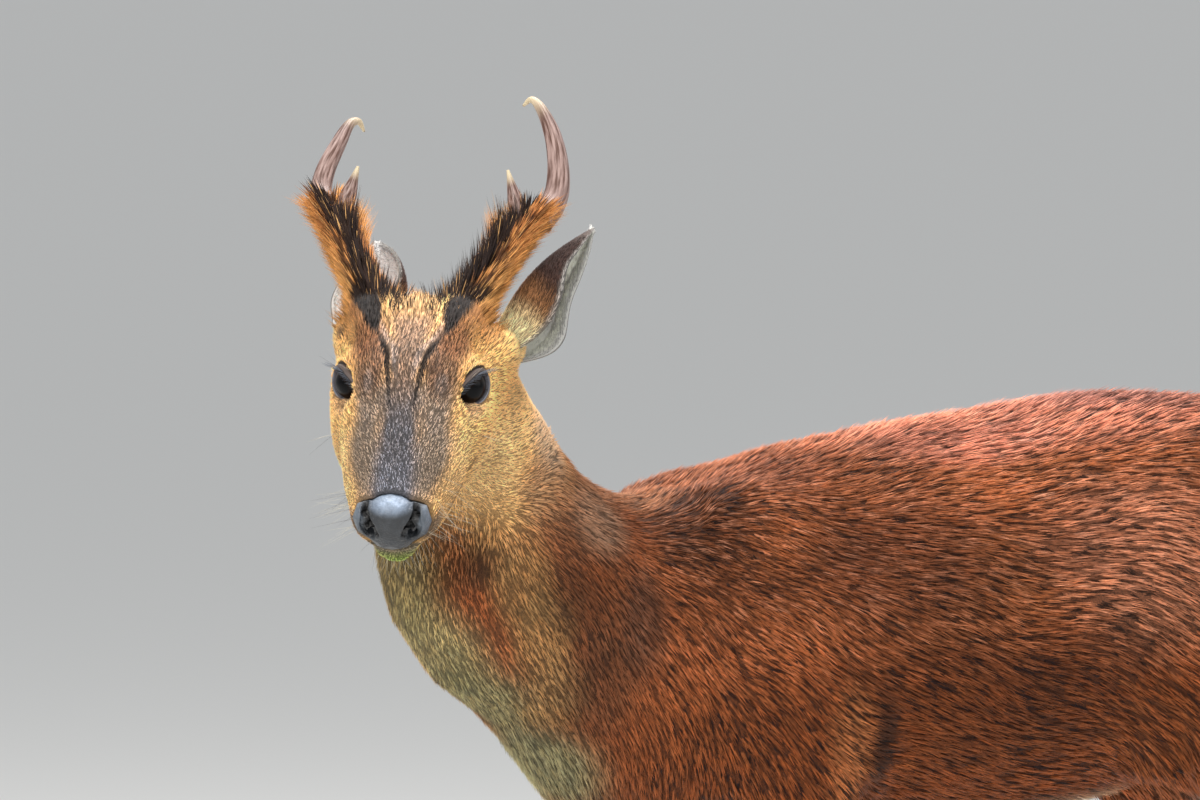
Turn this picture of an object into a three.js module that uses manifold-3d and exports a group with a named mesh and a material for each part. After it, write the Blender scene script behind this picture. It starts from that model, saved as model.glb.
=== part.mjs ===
// A standing muntjac buck, life size, in millimetres: +Z up, chest towards -X, left side towards -Y.
// The body is sculpted as soft masses that flow into one another. Each sub-part wraps that one
// surface in its own mesh and is then parted from its neighbours by thin cuts. The head, with its
// ears, pedicles and antlers, is built in a group of its own, which is turned to the animal's left.
import * as THREE from "three";
import { mergeVertices } from "three/addons/utils/BufferGeometryUtils.js";
import Module from "manifold-3d";

const wasm = await Module();
wasm.setup();

// Driving sizes
const GAP = 0.3; // between neighbouring sub-parts
const WITHERS = 514;
const CROUP = 553;
const CHEST_FLOOR = 288;
const HALF_TRACK = 57; // from the middle to each foot
const FORE_STEP = 14; // the left foreleg stands this much ahead, the right this much behind
const HIND_STEP = 20; // the left hind leg stands this much behind, the right this much ahead
const EYE_MIDDLE = [-385, -84, 574]; // the point midway between the eyes
const HEAD_TURN = 54; // degrees to the animal's left of the chest's direction
const HEAD_DROP = 44; // degrees that the head's long axis points below level
const HEAD_LEAN = 2.5; // degrees of tilt towards the left ear
const EYE_RADIUS = 14.2;
const EYE_CENTRE = [0, 31.5, 1];
const EYE_YAW = 48; // degrees from the head's long axis out to the way the eye looks
const EYE_PITCH = 22; // degrees above the head's own level
const LID_THICKNESS = 2;
const EAR_THICKNESS = 2.6;
const HOOF_HEIGHT = 27;
const BIG = 3000; // larger than the animal, for cutting blocks

const DEG = Math.PI / 180;
const SIDES = { left: -1, right: 1 };
const BOTH = [-1, 1];

const vec = (x, y, z) => new THREE.Vector3(x, y, z);
const mix = THREE.MathUtils.lerp;
const smooth = THREE.MathUtils.smoothstep;
const between = (a, b, t = 0.5) => a.map((v, i) => mix(v, b[i], t));

// Soft masses: each is a function of a point that is negative inside, in rough millimetres.
function egg([cx, cy, cz], [rx, ry, rz], pitch = 0, yaw = 0) {
  const turn = new THREE.Matrix4()
    .makeRotationFromEuler(new THREE.Euler(0, -pitch * DEG, yaw * DEG, "ZYX"))
    .invert();
  const [a, b, c, , d, e, f, , g, h, i] = turn.elements;
  return (x, y, z) => {
    const px = x - cx;
    const py = y - cy;
    const pz = z - cz;
    const u = (a * px + d * py + g * pz) / rx;
    const v = (b * px + e * py + h * pz) / ry;
    const w = (c * px + f * py + i * pz) / rz;
    const near = Math.sqrt(u * u + v * v + w * w);
    const slope = Math.sqrt((u / rx) ** 2 + (v / ry) ** 2 + (w / rz) ** 2);
    return slope < 1e-9 ? -Math.min(rx, ry, rz) : (near * (near - 1)) / slope;
  };
}

function taper([ax, ay, az], startRadius, [bx, by, bz], endRadius, squeeze = 1) {
  const dx = bx - ax;
  const dy = (by - ay) / squeeze;
  const dz = bz - az;
  const lengthSquared = dx * dx + dy * dy + dz * dz;
  return (x, y, z) => {
    const px = x - ax;
    const py = (y - ay) / squeeze;
    const pz = z - az;
    const t = Math.min(1, Math.max(0, (px * dx + py * dy + pz * dz) / lengthSquared));
    const qx = px - dx * t;
    const qy = py - dy * t;
    const qz = pz - dz * t;
    return Math.sqrt(qx * qx + qy * qy + qz * qz) - mix(startRadius, endRadius, t);
  };
}

function flowTogether(masses) {
  return (x, y, z) => {
    let d = 1e6;
    for (const [mass, reach] of masses) {
      const other = mass(x, y, z);
      const overlap = Math.max(reach - Math.abs(d - other), 0) / reach;
      d = Math.min(d, other) - (overlap * overlap * reach) / 4;
    }
    return d;
  };
}

// Closed solids from geometry, and back
function solidOf(geometry) {
  const bare = geometry.index ? geometry.toNonIndexed() : geometry.clone();
  for (const name of Object.keys(bare.attributes)) {
    if (name !== "position") bare.deleteAttribute(name);
  }
  const merged = mergeVertices(bare, 1e-3);
  return new wasm.Manifold(
    new wasm.Mesh({
      numProp: 3,
      vertProperties: merged.attributes.position.array,
      triVerts: new Uint32Array(merged.index.array),
    }),
  );
}

function geometryOf(solid) {
  const mesh = solid.getMesh();
  const geometry = new THREE.BufferGeometry();
  geometry.setAttribute("position", new THREE.BufferAttribute(mesh.vertProperties, 3));
  geometry.setIndex(new THREE.BufferAttribute(mesh.triVerts, 1));
  const faceted = geometry.toNonIndexed();
  faceted.computeVertexNormals();
  return faceted;
}

function largestPiece(solid) {
  const pieces = solid.decompose();
  return pieces.reduce((best, piece) => (piece.volume() > best.volume() ? piece : best));
}

const joined = (solids) => solids.reduce((all, solid) => all.add(solid));

// A block that fills everything on the side of a plane that its normal points to
function blockBeyond([x, y, z], normal) {
  const outward = vec(...normal).normalize();
  const block = new THREE.BoxGeometry(BIG, BIG, BIG).translate(0, 0, BIG / 2);
  block.applyQuaternion(new THREE.Quaternion().setFromUnitVectors(vec(0, 0, 1), outward));
  return solidOf(block.translate(x, y, z));
}

const shifted = (point, normal, distance) =>
  vec(...point).addScaledVector(vec(...normal).normalize(), distance).toArray();

// Signed distance past the nearest face of a region that is given by its outward planes
function regionField(planes) {
  const faces = planes.map(([point, normal]) => [vec(...point), vec(...normal).normalize()]);
  return (x, y, z) =>
    Math.max(...faces.map(([o, n]) => (x - o.x) * n.x + (y - o.y) * n.y + (z - o.z) * n.z));
}

function insideOf(planes, solid, inset = GAP / 2) {
  return planes.reduce(
    (kept, [point, normal]) => kept.subtract(blockBeyond(shifted(point, normal, -inset), normal)),
    solid,
  );
}

function outsideOf(planes, solid, margin = GAP / 2) {
  const [[point, normal], ...others] = planes;
  const back = normal.map((n) => -n);
  const first = blockBeyond(shifted(point, normal, margin), back);
  return solid.subtract(insideOf(others, first, -margin));
}

// A mesh that wraps a field: rays leave a line through the body's middle, fan out at its two ends,
// and stop at the surface. `grow` moves the surface outwards.
function wrap(field, line, { rings, sides, caps = 4, grow = 0, reach = 400, side = vec(0, 1, 0) }) {
  const rows = [];
  const across = side.clone().normalize();
  const castFrom = (t, tilt) => {
    const origin = line.getPointAt(t);
    const ahead = line.getTangentAt(t);
    const out = across.clone().addScaledVector(ahead, -across.dot(ahead)).normalize();
    const up = new THREE.Vector3().crossVectors(ahead, out);
    const row = [];
    const count = Math.abs(tilt) > 89.9 ? 1 : sides;
    for (let i = 0; i < count; i++) {
      const turn = ((i + 0.5 * (rows.length % 2)) / sides) * 2 * Math.PI;
      const ray = out.clone().multiplyScalar(Math.cos(turn));
      ray.addScaledVector(up, Math.sin(turn)).multiplyScalar(Math.cos(tilt * DEG));
      ray.addScaledVector(ahead, Math.sin(tilt * DEG));
      row.push(hit(field, origin, ray, grow, reach));
    }
    rows.push(row);
  };
  for (let i = 0; i < caps; i++) castFrom(0, -90 + (90 * i) / caps);
  for (let i = 0; i <= rings; i++) castFrom(i / rings, 0);
  for (let i = caps - 1; i >= 0; i--) castFrom(1, 90 - (90 * i) / caps);
  return solidOf(netOf(rows));
}

function hit(field, origin, ray, grow, reach) {
  const at = (s) =>
    field(origin.x + ray.x * s, origin.y + ray.y * s, origin.z + ray.z * s) - grow;
  let s = 0;
  let d = at(0);
  if (d > 0) throw new Error(`a line leaves the body near ${origin.toArray().map(Math.round)}`);
  while (d < 0 && s < reach) {
    s += Math.max(-d * 0.6, 0.4);
    d = at(s);
  }
  let low = s - Math.max(4, s * 0.05);
  let high = s;
  low = Math.max(low, 0);
  for (let i = 0; i < 24; i++) {
    const middle = (low + high) / 2;
    if (at(middle) < 0) low = middle;
    else high = middle;
  }
  return vec(origin.x + ray.x * low, origin.y + ray.y * low, origin.z + ray.z * low);
}

// Rows of points joined into a closed net: a row of one point is a pole, and each second row of a
// wrapped net is turned by half a step, which keeps the triangles even.
function netOf(rows) {
  const corners = [];
  const face = (a, b, c) => corners.push(a, b, c);
  for (let r = 0; r + 1 < rows.length; r++) {
    const low = rows[r];
    const high = rows[r + 1];
    const count = Math.max(low.length, high.length);
    for (let i = 0; i < count; i++) {
      const j = (i + 1) % count;
      if (low.length === 1) face(low[0], high[j], high[i]);
      else if (high.length === 1) face(low[i], low[j], high[0]);
      else if (r % 2) {
        face(low[i], high[j], high[i]);
        face(low[i], low[j], high[j]);
      } else {
        face(low[i], low[j], high[i]);
        face(low[j], high[j], high[i]);
      }
    }
  }
  return new THREE.BufferGeometry().setFromPoints(corners);
}

// A plain loft through rows of points of one count, closed by a fan at each end
function loft(rows) {
  const middle = (row) =>
    row.reduce((sum, p) => sum.add(p), vec(0, 0, 0)).divideScalar(row.length);
  const corners = [];
  const count = rows[0].length;
  const first = middle(rows[0]);
  const last = middle(rows[rows.length - 1]);
  for (let i = 0; i < count; i++) {
    const j = (i + 1) % count;
    corners.push(first, rows[0][j], rows[0][i]);
    for (let r = 0; r + 1 < rows.length; r++) {
      corners.push(rows[r][i], rows[r][j], rows[r + 1][i]);
      corners.push(rows[r][j], rows[r + 1][j], rows[r + 1][i]);
    }
    corners.push(last, rows[rows.length - 1][i], rows[rows.length - 1][j]);
  }
  return new THREE.BufferGeometry().setFromPoints(corners);
}

// A round horn-like rod along a curve: `radiusAt` and `flatAt` give its radius and flatness
function rod(curve, steps, sides, radiusAt, flatAt = () => 1, side = vec(0, 1, 0)) {
  const rows = [];
  for (let k = 0; k <= steps; k++) {
    const t = k / steps;
    const centre = curve.getPointAt(t);
    const ahead = curve.getTangentAt(t);
    const out = side.clone().addScaledVector(ahead, -side.dot(ahead)).normalize();
    const up = new THREE.Vector3().crossVectors(ahead, out);
    const row = [];
    for (let i = 0; i < sides; i++) {
      const turn = (i / sides) * 2 * Math.PI;
      const p = centre.clone().addScaledVector(out, Math.cos(turn) * radiusAt(t));
      row.push(p.addScaledVector(up, Math.sin(turn) * radiusAt(t) * flatAt(t)));
    }
    rows.push(row);
  }
  return loft(rows);
}

const curveThrough = (points) =>
  new THREE.CatmullRomCurve3(points.map((p) => vec(...p)), false, "centripetal");

// A point on a rod's surface, with the way along the rod and the way out of it
function onRod(curve, t, turn, radius, flatness = 1, side = vec(0, 1, 0)) {
  const ahead = curve.getTangentAt(t);
  const out = side.clone().addScaledVector(ahead, -side.dot(ahead)).normalize();
  const up = new THREE.Vector3().crossVectors(ahead, out);
  const away = out.multiplyScalar(Math.cos(turn)).addScaledVector(up, Math.sin(turn) * flatness);
  const root = curve.getPointAt(t).addScaledVector(away, radius);
  return { root, ahead, outward: away.normalize() };
}

// A repeatable random draw from 0 to 1
function drawFrom(seed) {
  let state = seed;
  return () => {
    state = (state * 16807) % 2147483647;
    return state / 2147483647;
  };
}

// One flat, tapered lock of hair: it leaves the skin at a slant, bends back along the lie and ends
// in a point. Its root is sunk `sink` below the skin.
function lock(root, lie, outward, { length, width, thickness, lift, sink, sway = 0 }) {
  const ahead = lie.clone().addScaledVector(outward, -lie.dot(outward)).normalize();
  const across = new THREE.Vector3().crossVectors(outward, ahead);
  const stations = [
    [0, 0.75, 1],
    [0.4, 1, 0.9],
    [0.75, 0.62, 0.6],
  ];
  const centreAt = (s) =>
    root
      .clone()
      .addScaledVector(ahead, length * s)
      .addScaledVector(outward, -sink + (sink + lift) * Math.sin((s * Math.PI) / 2))
      .addScaledVector(across, sway * s * s * length);
  const rows = stations.map(([s, wide, thick]) => {
    const c = centreAt(s);
    return [
      c.clone().addScaledVector(across, (wide * width) / 2),
      c.clone().addScaledVector(outward, (thick * thickness) / 2),
      c.clone().addScaledVector(across, (-wide * width) / 2),
      c.clone().addScaledVector(outward, (-thick * thickness) / 2),
    ];
  });
  rows.push([centreAt(1)]);
  const corners = [];
  for (let r = 0; r + 1 < rows.length; r++) {
    for (let i = 0; i < 4; i++) {
      const j = (i + 1) % 4;
      if (rows[r + 1].length === 1) corners.push(rows[r][i], rows[r][j], rows[r + 1][0]);
      else {
        corners.push(rows[r][i], rows[r][j], rows[r + 1][i]);
        corners.push(rows[r][j], rows[r + 1][j], rows[r + 1][i]);
      }
    }
  }
  corners.push(rows[0][0], rows[0][2], rows[0][1], rows[0][0], rows[0][3], rows[0][2]);
  return facingOut(new THREE.BufferGeometry().setFromPoints(corners));
}

// A closed solid that faces outwards, whichever way round its geometry was listed
function facingOut(geometry) {
  const made = solidOf(geometry);
  if (made.volume() > 0) return made;
  const at = geometry.attributes.position.array.slice();
  for (let i = 0; i < at.length; i += 9) {
    for (let k = 0; k < 3; k++) [at[i + 3 + k], at[i + 6 + k]] = [at[i + 6 + k], at[i + 3 + k]];
  }
  const turned = new THREE.BufferGeometry();
  turned.setAttribute("position", new THREE.BufferAttribute(at, 3));
  return solidOf(turned);
}

// The head's place: local +X points to the nose, +Y to the animal's left ear, +Z to the crown
const headGroup = new THREE.Group();
headGroup.position.set(...EYE_MIDDLE);
{
  const turn = (180 + HEAD_TURN) * DEG;
  const yaw = new THREE.Quaternion().setFromAxisAngle(vec(0, 0, 1), turn);
  const drop = new THREE.Quaternion().setFromAxisAngle(vec(0, 1, 0), HEAD_DROP * DEG);
  const lean = new THREE.Quaternion().setFromAxisAngle(vec(1, 0, 0), -HEAD_LEAN * DEG);
  headGroup.quaternion.copy(yaw).multiply(drop).multiply(lean);
}
headGroup.updateMatrixWorld(true);
const worldToHead = headGroup.matrixWorld.clone().invert();
const headToWorld = (p) => vec(...p).applyMatrix4(headGroup.matrixWorld).toArray();
const headDirection = (n) => vec(...n).transformDirection(headGroup.matrixWorld).toArray();

// A point of the head given in an upright frame: out to the left, back and up from the eyes' middle
function upright(out, back, up) {
  const sine = Math.sin(HEAD_DROP * DEG);
  const cosine = Math.cos(HEAD_DROP * DEG);
  return [-sine * up - cosine * back, out, cosine * up - sine * back];
}

// Head masses, in the head's own frame
const headMasses = [
  [egg([-42, 0, -12], [40, 36, 29], 10), 10], // braincase
  [egg([-8, 0, 6], [40, 37, 21], -6), 20], // forehead
  [taper([14, 0, 0], 28, [93, 0, -10], 17.5, 1.1), 22], // upper muzzle
  [taper([8, 0, 16], 13, [97, 0, 0], 11, 1.2), 14], // bridge of the nose
  [egg([102, 0, -7], [13, 22, 15]), 12], // end of the muzzle
  [taper([72, 0, -34], 14, [101, 0, -33], 10.5, 1.3), 12], // chin and lower lip
];
for (const s of BOTH) {
  headMasses.push(
    [egg([-1, s * 29, 3], [17.5, 15.5, 17.5]), 8], // rim of the eye socket
    [taper([18, s * 31, -11], 9, [-46, s * 38, -6], 9.5), 14], // cheek bone
    [egg([42, s * 21, -16], [38, 16.5, 21]), 18], // cheek over the upper teeth
    [taper([-12, s * 25, -46], 21, [74, s * 11, -33], 11), 16], // lower jaw
    [egg([0, s * 29, -32], [36, 19, 34], -12), 18], // chewing muscle
    [egg([84, s * 15, -15], [24, 12.5, 11.5]), 10], // upper lip
    [egg(s > 0 ? [-40, 45, -12] : [-47, -38, -7], s > 0 ? [20, 16, 22] : [18, 13, 19]), 14], // root of the ear
    [taper([14, s * 14, 22], 5, [-28, s * 24, 19], 10.5), 10], // brow ridge up to the pedicle
    [taper([-28, s * 24, 19], 10.5, [-44, s * 30, 20], 10.5), 10], // root of the pedicle
  );
}
const headField = flowTogether(headMasses);
const probe = vec(0, 0, 0);
const headFieldInWorld = (x, y, z) => {
  probe.set(x, y, z).applyMatrix4(worldToHead);
  return headField(probe.x, probe.y, probe.z);
};

// Leg joints: foreleg from elbow to pastern, hind leg from stifle to pastern
const FORE_X = -116;
const HIND_X = 300;
const foreJoints = (s, step) => ({
  elbow: [-96 + step * 0.2, s * 64, 335],
  knee: [FORE_X + step * 0.9, s * 59, 172],
  fetlock: [FORE_X + 3 + step, s * HALF_TRACK, 62],
  coronet: [FORE_X - 14 + step, s * HALF_TRACK, 26],
});
const hindJoints = (s, step) => ({
  stifle: [192 + step * 0.25, s * 74, 338],
  hock: [HIND_X + 14 + step * 0.9, s * 60, 203],
  heel: [HIND_X + 33 + step * 0.9, s * 59, 224],
  fetlock: [HIND_X + 2 + step, s * HALF_TRACK, 64],
  coronet: [HIND_X - 16 + step, s * HALF_TRACK, 26],
});
const foreOf = {};
const hindOf = {};
for (const [name, s] of Object.entries(SIDES)) {
  foreOf[name] = foreJoints(s, s * FORE_STEP);
  hindOf[name] = hindJoints(s, -s * HIND_STEP);
}

// Trunk, neck and leg masses
const NECK_TOP = [-334, -45, 547];
const NECK_MIDDLE = [-289, -24, 450];
const NECK_ROOT = [-185, 0, 394];
const fleshMasses = [
  [egg([-55, 0, 405], [170, 84, 117]), 20], // rib cage
  [egg([75, 0, 418], [185, 92, 125]), 60], // belly
  [egg([172, 0, 460], [152, 78, CROUP - 462], 3), 50], // loin
  [egg([262, 0, 437], [88, 80, 108], -18), 40], // rump
  [egg([-104, 0, WITHERS - 70], [82, 42, 62], 14), 40], // withers
  [egg([-192, 0, CHEST_FLOOR + 78], [68, 58, 74], 24), 40], // brisket
  [taper(NECK_ROOT, 99, NECK_MIDDLE, 74, 0.8), 30], // root of the neck
  [taper(NECK_MIDDLE, 74, NECK_TOP, 48, 0.86), 20], // upper neck
  [egg([-317, -20, 490], [55, 46, 54]), 30], // throat
];
for (const [name, s] of Object.entries(SIDES)) {
  const fore = foreOf[name];
  const hind = hindOf[name];
  fleshMasses.push(
    [egg([-130, s * 50, 418], [56, 36, 92], 14), 34], // shoulder blade
    [egg([-106, s * 57, 362], [50, 31, 56], -20), 26], // upper arm
    [egg([238, s * 48, 400], [88, 42, 108], -12), 34], // thigh
    [taper(fore.elbow, 29, fore.knee, 13, 0.8), 26], // forearm
    [egg(fore.knee, [14.5, 13, 19]), 8], // knee
    [taper(fore.knee, 11, fore.fetlock, 9.6, 0.9), 8], // fore cannon
    [egg(fore.fetlock, [13, 12.5, 14]), 8], // fore fetlock
    [taper(fore.fetlock, 10, fore.coronet, 12.5, 1.1), 8], // fore pastern
    [taper(hind.stifle, 45, hind.hock, 15, 0.72), 34], // lower thigh
    [taper([268, s * 66, 326], 38, between(hind.heel, hind.hock, 0.3), 10, 0.56), 22], // heel cord
    [egg(hind.hock, [17, 14, 20], -20), 10], // hock
    [taper(hind.heel, 8.5, hind.hock, 13), 8], // point of the hock
    [taper(hind.hock, 12, hind.fetlock, 10.2, 0.85), 10], // hind cannon
    [egg(hind.fetlock, [13.5, 12.5, 14.5]), 8], // hind fetlock
    [taper(hind.fetlock, 10.2, hind.coronet, 12.5, 1.1), 8], // hind pastern
  );
}
const bodyField = flowTogether(fleshMasses);
const HEAD_FLOW = 18; // reach of the soft join between head and neck
const fleshField = (x, y, z) => {
  const body = bodyField(x, y, z);
  const head = headFieldInWorld(x, y, z);
  const overlap = Math.max(HEAD_FLOW - Math.abs(body - head), 0) / HEAD_FLOW;
  return Math.min(body, head) - (overlap * overlap * HEAD_FLOW) / 4;
};

// Cuts between the sub-parts, each a plane with the normal that points out of the first-named part
const throatCutLocal = [[-44, 0, -35], [-0.62, 0.2, -0.78]]; // head to neck, in the head's frame
const throatCut = [headToWorld(throatCutLocal[0]), headDirection(throatCutLocal[1])];
const shoulderCut = [[-205, 0, 450], [-0.84, -0.1, 0.5]]; // torso to neck
const foreRegion = (s) => [
  [[0, s * 34, 0], [0, -s, 0]],
  [[-60, 0, 0], [1, 0, 0]],
  [[-150, 0, 0], [-1, 0, 0]],
  [[-108, s * 60, 322], [0.1, -s * 0.36, 0.93]],
  [[0, 0, HOOF_HEIGHT], [0, 0, -1]],
];
const hindRegion = (s) => [
  [[0, 0, 0], [0, -s, 0]],
  [[172, 0, 332], [-0.66, 0, 0.75]],
  [[0, 0, HOOF_HEIGHT], [0, 0, -1]],
];
const WRAP_PAST_CUT = 24;
const WRAP_PAST_SHOULDER = 56;
const within = (field, planes, past = WRAP_PAST_CUT) => {
  const region = regionField(planes);
  return (x, y, z) => Math.max(field(x, y, z), region(x, y, z) - past);
};
const without = (field, planes) => {
  const region = regionField(planes);
  return (x, y, z) => Math.max(field(x, y, z), -region(x, y, z) - WRAP_PAST_CUT);
};
const reversed = ([point, normal]) => [point, normal.map((n) => -n)];

// Torso
const TORSO_LINE = [[285, 0, 492], [190, 0, 462], [60, 0, 430], [-60, 0, 420], [-150, 0, 425], [-190, -2, 425]];
const legRegions = BOTH.flatMap((s) => [foreRegion(s), hindRegion(s)]);
let torsoField = within(fleshField, [shoulderCut], WRAP_PAST_SHOULDER);
for (const region of legRegions) torsoField = without(torsoField, region);
function makeTorso(grow = 0) {
  let torso = wrap(torsoField, curveThrough(TORSO_LINE), { rings: 20, sides: 26, caps: 4, grow });
  torso = insideOf([shoulderCut], torso);
  for (const region of legRegions) torso = outsideOf(region, torso);
  return torso;
}

// Neck
function makeNeck(grow = 0) {
  const planes = [reversed(shoulderCut), reversed(throatCut)];
  const line = curveThrough([[-205, -4, 424], [-240, -10, 430], NECK_MIDDLE, [-318, -38, 556]]);
  const flesh = within(fleshField, planes, WRAP_PAST_SHOULDER);
  const solid = wrap(flesh, line, { rings: 12, sides: 22, caps: 3, grow });
  return insideOf(planes, solid);
}

// Legs, from the cut at the trunk down to the hooves
function makeForeleg(s, joints, grow = 0) {
  const { elbow, knee, fetlock, coronet } = joints;
  const top = [elbow[0] - 6, elbow[1], elbow[2] - 30];
  const line = curveThrough([top, between(top, knee), knee, between(knee, fetlock), fetlock, coronet]);
  const solid = wrap(within(fleshField, foreRegion(s)), line, { rings: 17, sides: 11, caps: 3, grow });
  return insideOf(foreRegion(s), solid);
}

function makeHindleg(s, joints, grow = 0) {
  const { stifle, hock, fetlock, coronet } = joints;
  const haunch = [258, s * 46, 405];
  const thigh = [254, s * 58, 332];
  const shin = between(thigh, hock);
  const line = curveThrough([haunch, thigh, shin, hock, between(hock, fetlock), fetlock, coronet]);
  const solid = wrap(within(fleshField, hindRegion(s)), line, { rings: 20, sides: 12, caps: 3, grow });
  return insideOf(hindRegion(s), solid);
}

// Hooves: two to a foot, pointed at the toe, with a flat sole
const HOOF_LENGTH = 34;
const HOOF_WIDTH = 12.5;
const CLEFT = 1.4; // between the two hooves of a foot
const HOOF_LEVELS = [
  // height, how far the outline has moved forward, scale of the outline
  [0, 5, 0.9],
  [3, 5.2, 0.98],
  [14, 1.5, 0.92],
  [HOOF_HEIGHT - GAP, -3.5, 0.8],
];
function makeHoof(coronet, side) {
  const rows = HOOF_LEVELS.map(([height, ahead, scale]) => {
    const row = [];
    for (let i = 0; i < 10; i++) {
      const turn = (i / 10) * 2 * Math.PI;
      const toe = Math.cos(turn);
      const pointed = 1 - 0.35 * Math.max(0, toe) ** 2;
      const x = (-toe * HOOF_LENGTH * scale) / 2 - ahead;
      const inner = Math.sign(Math.sin(turn)) === -side;
      const bulge = Math.sin(turn) * pointed * (inner ? 0.5 : 1);
      const y = side * (CLEFT / 2 + HOOF_WIDTH / 3) + bulge * HOOF_WIDTH * 0.66 * scale;
      row.push(vec(coronet[0] + x, coronet[1] + limitToSide(y, side), height));
    }
    return row;
  });
  return facingOut(loft(rows));
}
const limitToSide = (y, side) => (side > 0 ? Math.max(y, CLEFT / 2) : Math.min(y, -CLEFT / 2));

// Dewclaws: a small pair behind each fetlock
function makeDewclaw(fetlock, side, grow = 0) {
  const root = vec(fetlock[0] + 6, fetlock[1] + side * 7, fetlock[2] - 4);
  const tip = vec(fetlock[0] + 12, fetlock[1] + side * 8.5, fetlock[2] - 20);
  tip.addScaledVector(tip.clone().sub(root).normalize(), grow);
  const curve = new THREE.LineCurve3(root, tip);
  return facingOut(rod(curve, 2, 6, (t) => mix(5.4, 2.4, t) + grow, () => 0.75));
}

// Tail, hanging close to the rump: a slim core under a fringe of long locks that spread sideways
const TAIL_ROOT = [326, 0, 492];
const TAIL_LINE = curveThrough([TAIL_ROOT, [352, 0, 470], [366, 2, 430], [370, 4, 385], [366, 5, 348]]);
const TAIL_FLATNESS = 0.62;
const TAIL_LOCK_ROWS = 6;
const TAIL_LOCKS_ROUND = 4;
const tailCore = (t) => 9 + 5 * Math.sin(Math.min(1, t * 1.3) * Math.PI * 0.8);
function makeTail() {
  const draw = drawFrom(47);
  const locks = [];
  for (let r = 0; r < TAIL_LOCK_ROWS; r++) {
    for (let k = 0; k < TAIL_LOCKS_ROUND; k++) {
      const t = 0.1 + (0.86 * (r + 0.5 * draw())) / TAIL_LOCK_ROWS;
      const turn = ((k + 0.5 * (r % 2) + 0.4 * (draw() - 0.5)) / TAIL_LOCKS_ROUND) * 2 * Math.PI;
      const { root, ahead, outward } = onRod(TAIL_LINE, t, turn, tailCore(t), TAIL_FLATNESS);
      const sideways = Math.abs(Math.cos(turn));
      locks.push(
        lock(root, ahead, outward, {
          length: mix(40, 54, draw()),
          width: mix(15, 20, draw()),
          thickness: mix(3.6, 5, draw()),
          lift: mix(2, 3, draw()) + 10 * sideways,
          sink: 4,
          sway: mix(-0.12, 0.12, draw()),
        }),
      );
    }
  }
  const core = facingOut(rod(TAIL_LINE, 8, 10, tailCore, () => TAIL_FLATNESS));
  return joined([core, ...locks]);
}

// Head
const HEAD_LINE = [[-44, 0, 0], [0, 0, -8], [50, 0, -10], [86, 0, -12]];
const headRegionField = within((x, y, z) => {
  worldProbe.set(x, y, z).applyMatrix4(headGroup.matrixWorld);
  return fleshField(worldProbe.x, worldProbe.y, worldProbe.z);
}, [throatCutLocal]);
const worldProbe = vec(0, 0, 0);
const makeHeadSkin = (grow = 0) =>
  wrap(headRegionField, curveThrough(HEAD_LINE), { rings: 23, sides: 30, caps: 4, grow });

// Eyes, with lids that follow the ball round an almond opening
const eyeCentre = (s) => vec(EYE_CENTRE[0], s * EYE_CENTRE[1], EYE_CENTRE[2]);
const eyeTurn = (s) => new THREE.Euler(0, -EYE_PITCH * DEG, s * EYE_YAW * DEG, "ZYX");
function eyeBall(s, grow) {
  const ball = new THREE.SphereGeometry(EYE_RADIUS + grow, 15, 10).rotateZ(-Math.PI / 2);
  ball.applyQuaternion(new THREE.Quaternion().setFromEuler(eyeTurn(s)));
  return solidOf(ball.translate(...eyeCentre(s)));
}

const OPENING_SIDES = 20;
const OPENING_OUTER = 58; // degrees to the outer corner, seen from the ball's middle
const OPENING_INNER = 54;
const UPPER_LID = 38;
const LOWER_LID = 34;
const OPENING_TILT = 6; // degrees that the inner corner lies below the outer one
function lidOpening(s) {
  const near = [];
  const far = [];
  const dome = [];
  const turn = new THREE.Quaternion().setFromEuler(eyeTurn(s));
  const facing = vec(1, 0, 0).applyQuaternion(turn);
  for (let i = 0; i < OPENING_SIDES; i++) {
    const a = (i / OPENING_SIDES) * 2 * Math.PI;
    const outwards = Math.sign(Math.cos(a)) * Math.abs(Math.cos(a)) ** 0.85;
    const across = s * outwards * (outwards > 0 ? OPENING_OUTER : OPENING_INNER);
    const lid = Math.sin(a) > 0 ? UPPER_LID : LOWER_LID;
    const rise = Math.sin(a) * Math.sqrt(Math.abs(Math.sin(a))) * lid;
    const tilted = rise + Math.tan(OPENING_TILT * DEG) * across * s;
    const ray = vec(1, Math.tan(Math.min(across * DEG, 1.2)), 0).normalize();
    ray.z = Math.tan(tilted * DEG);
    ray.normalize().applyQuaternion(turn);
    near.push(eyeCentre(s).addScaledVector(ray, 3));
    far.push(eyeCentre(s).addScaledVector(ray, EYE_RADIUS + 8));
    dome.push(eyeCentre(s).addScaledVector(ray.lerp(facing, 0.5).normalize(), EYE_RADIUS + 12));
  }
  return facingOut(loft([near, far, dome]));
}

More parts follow.
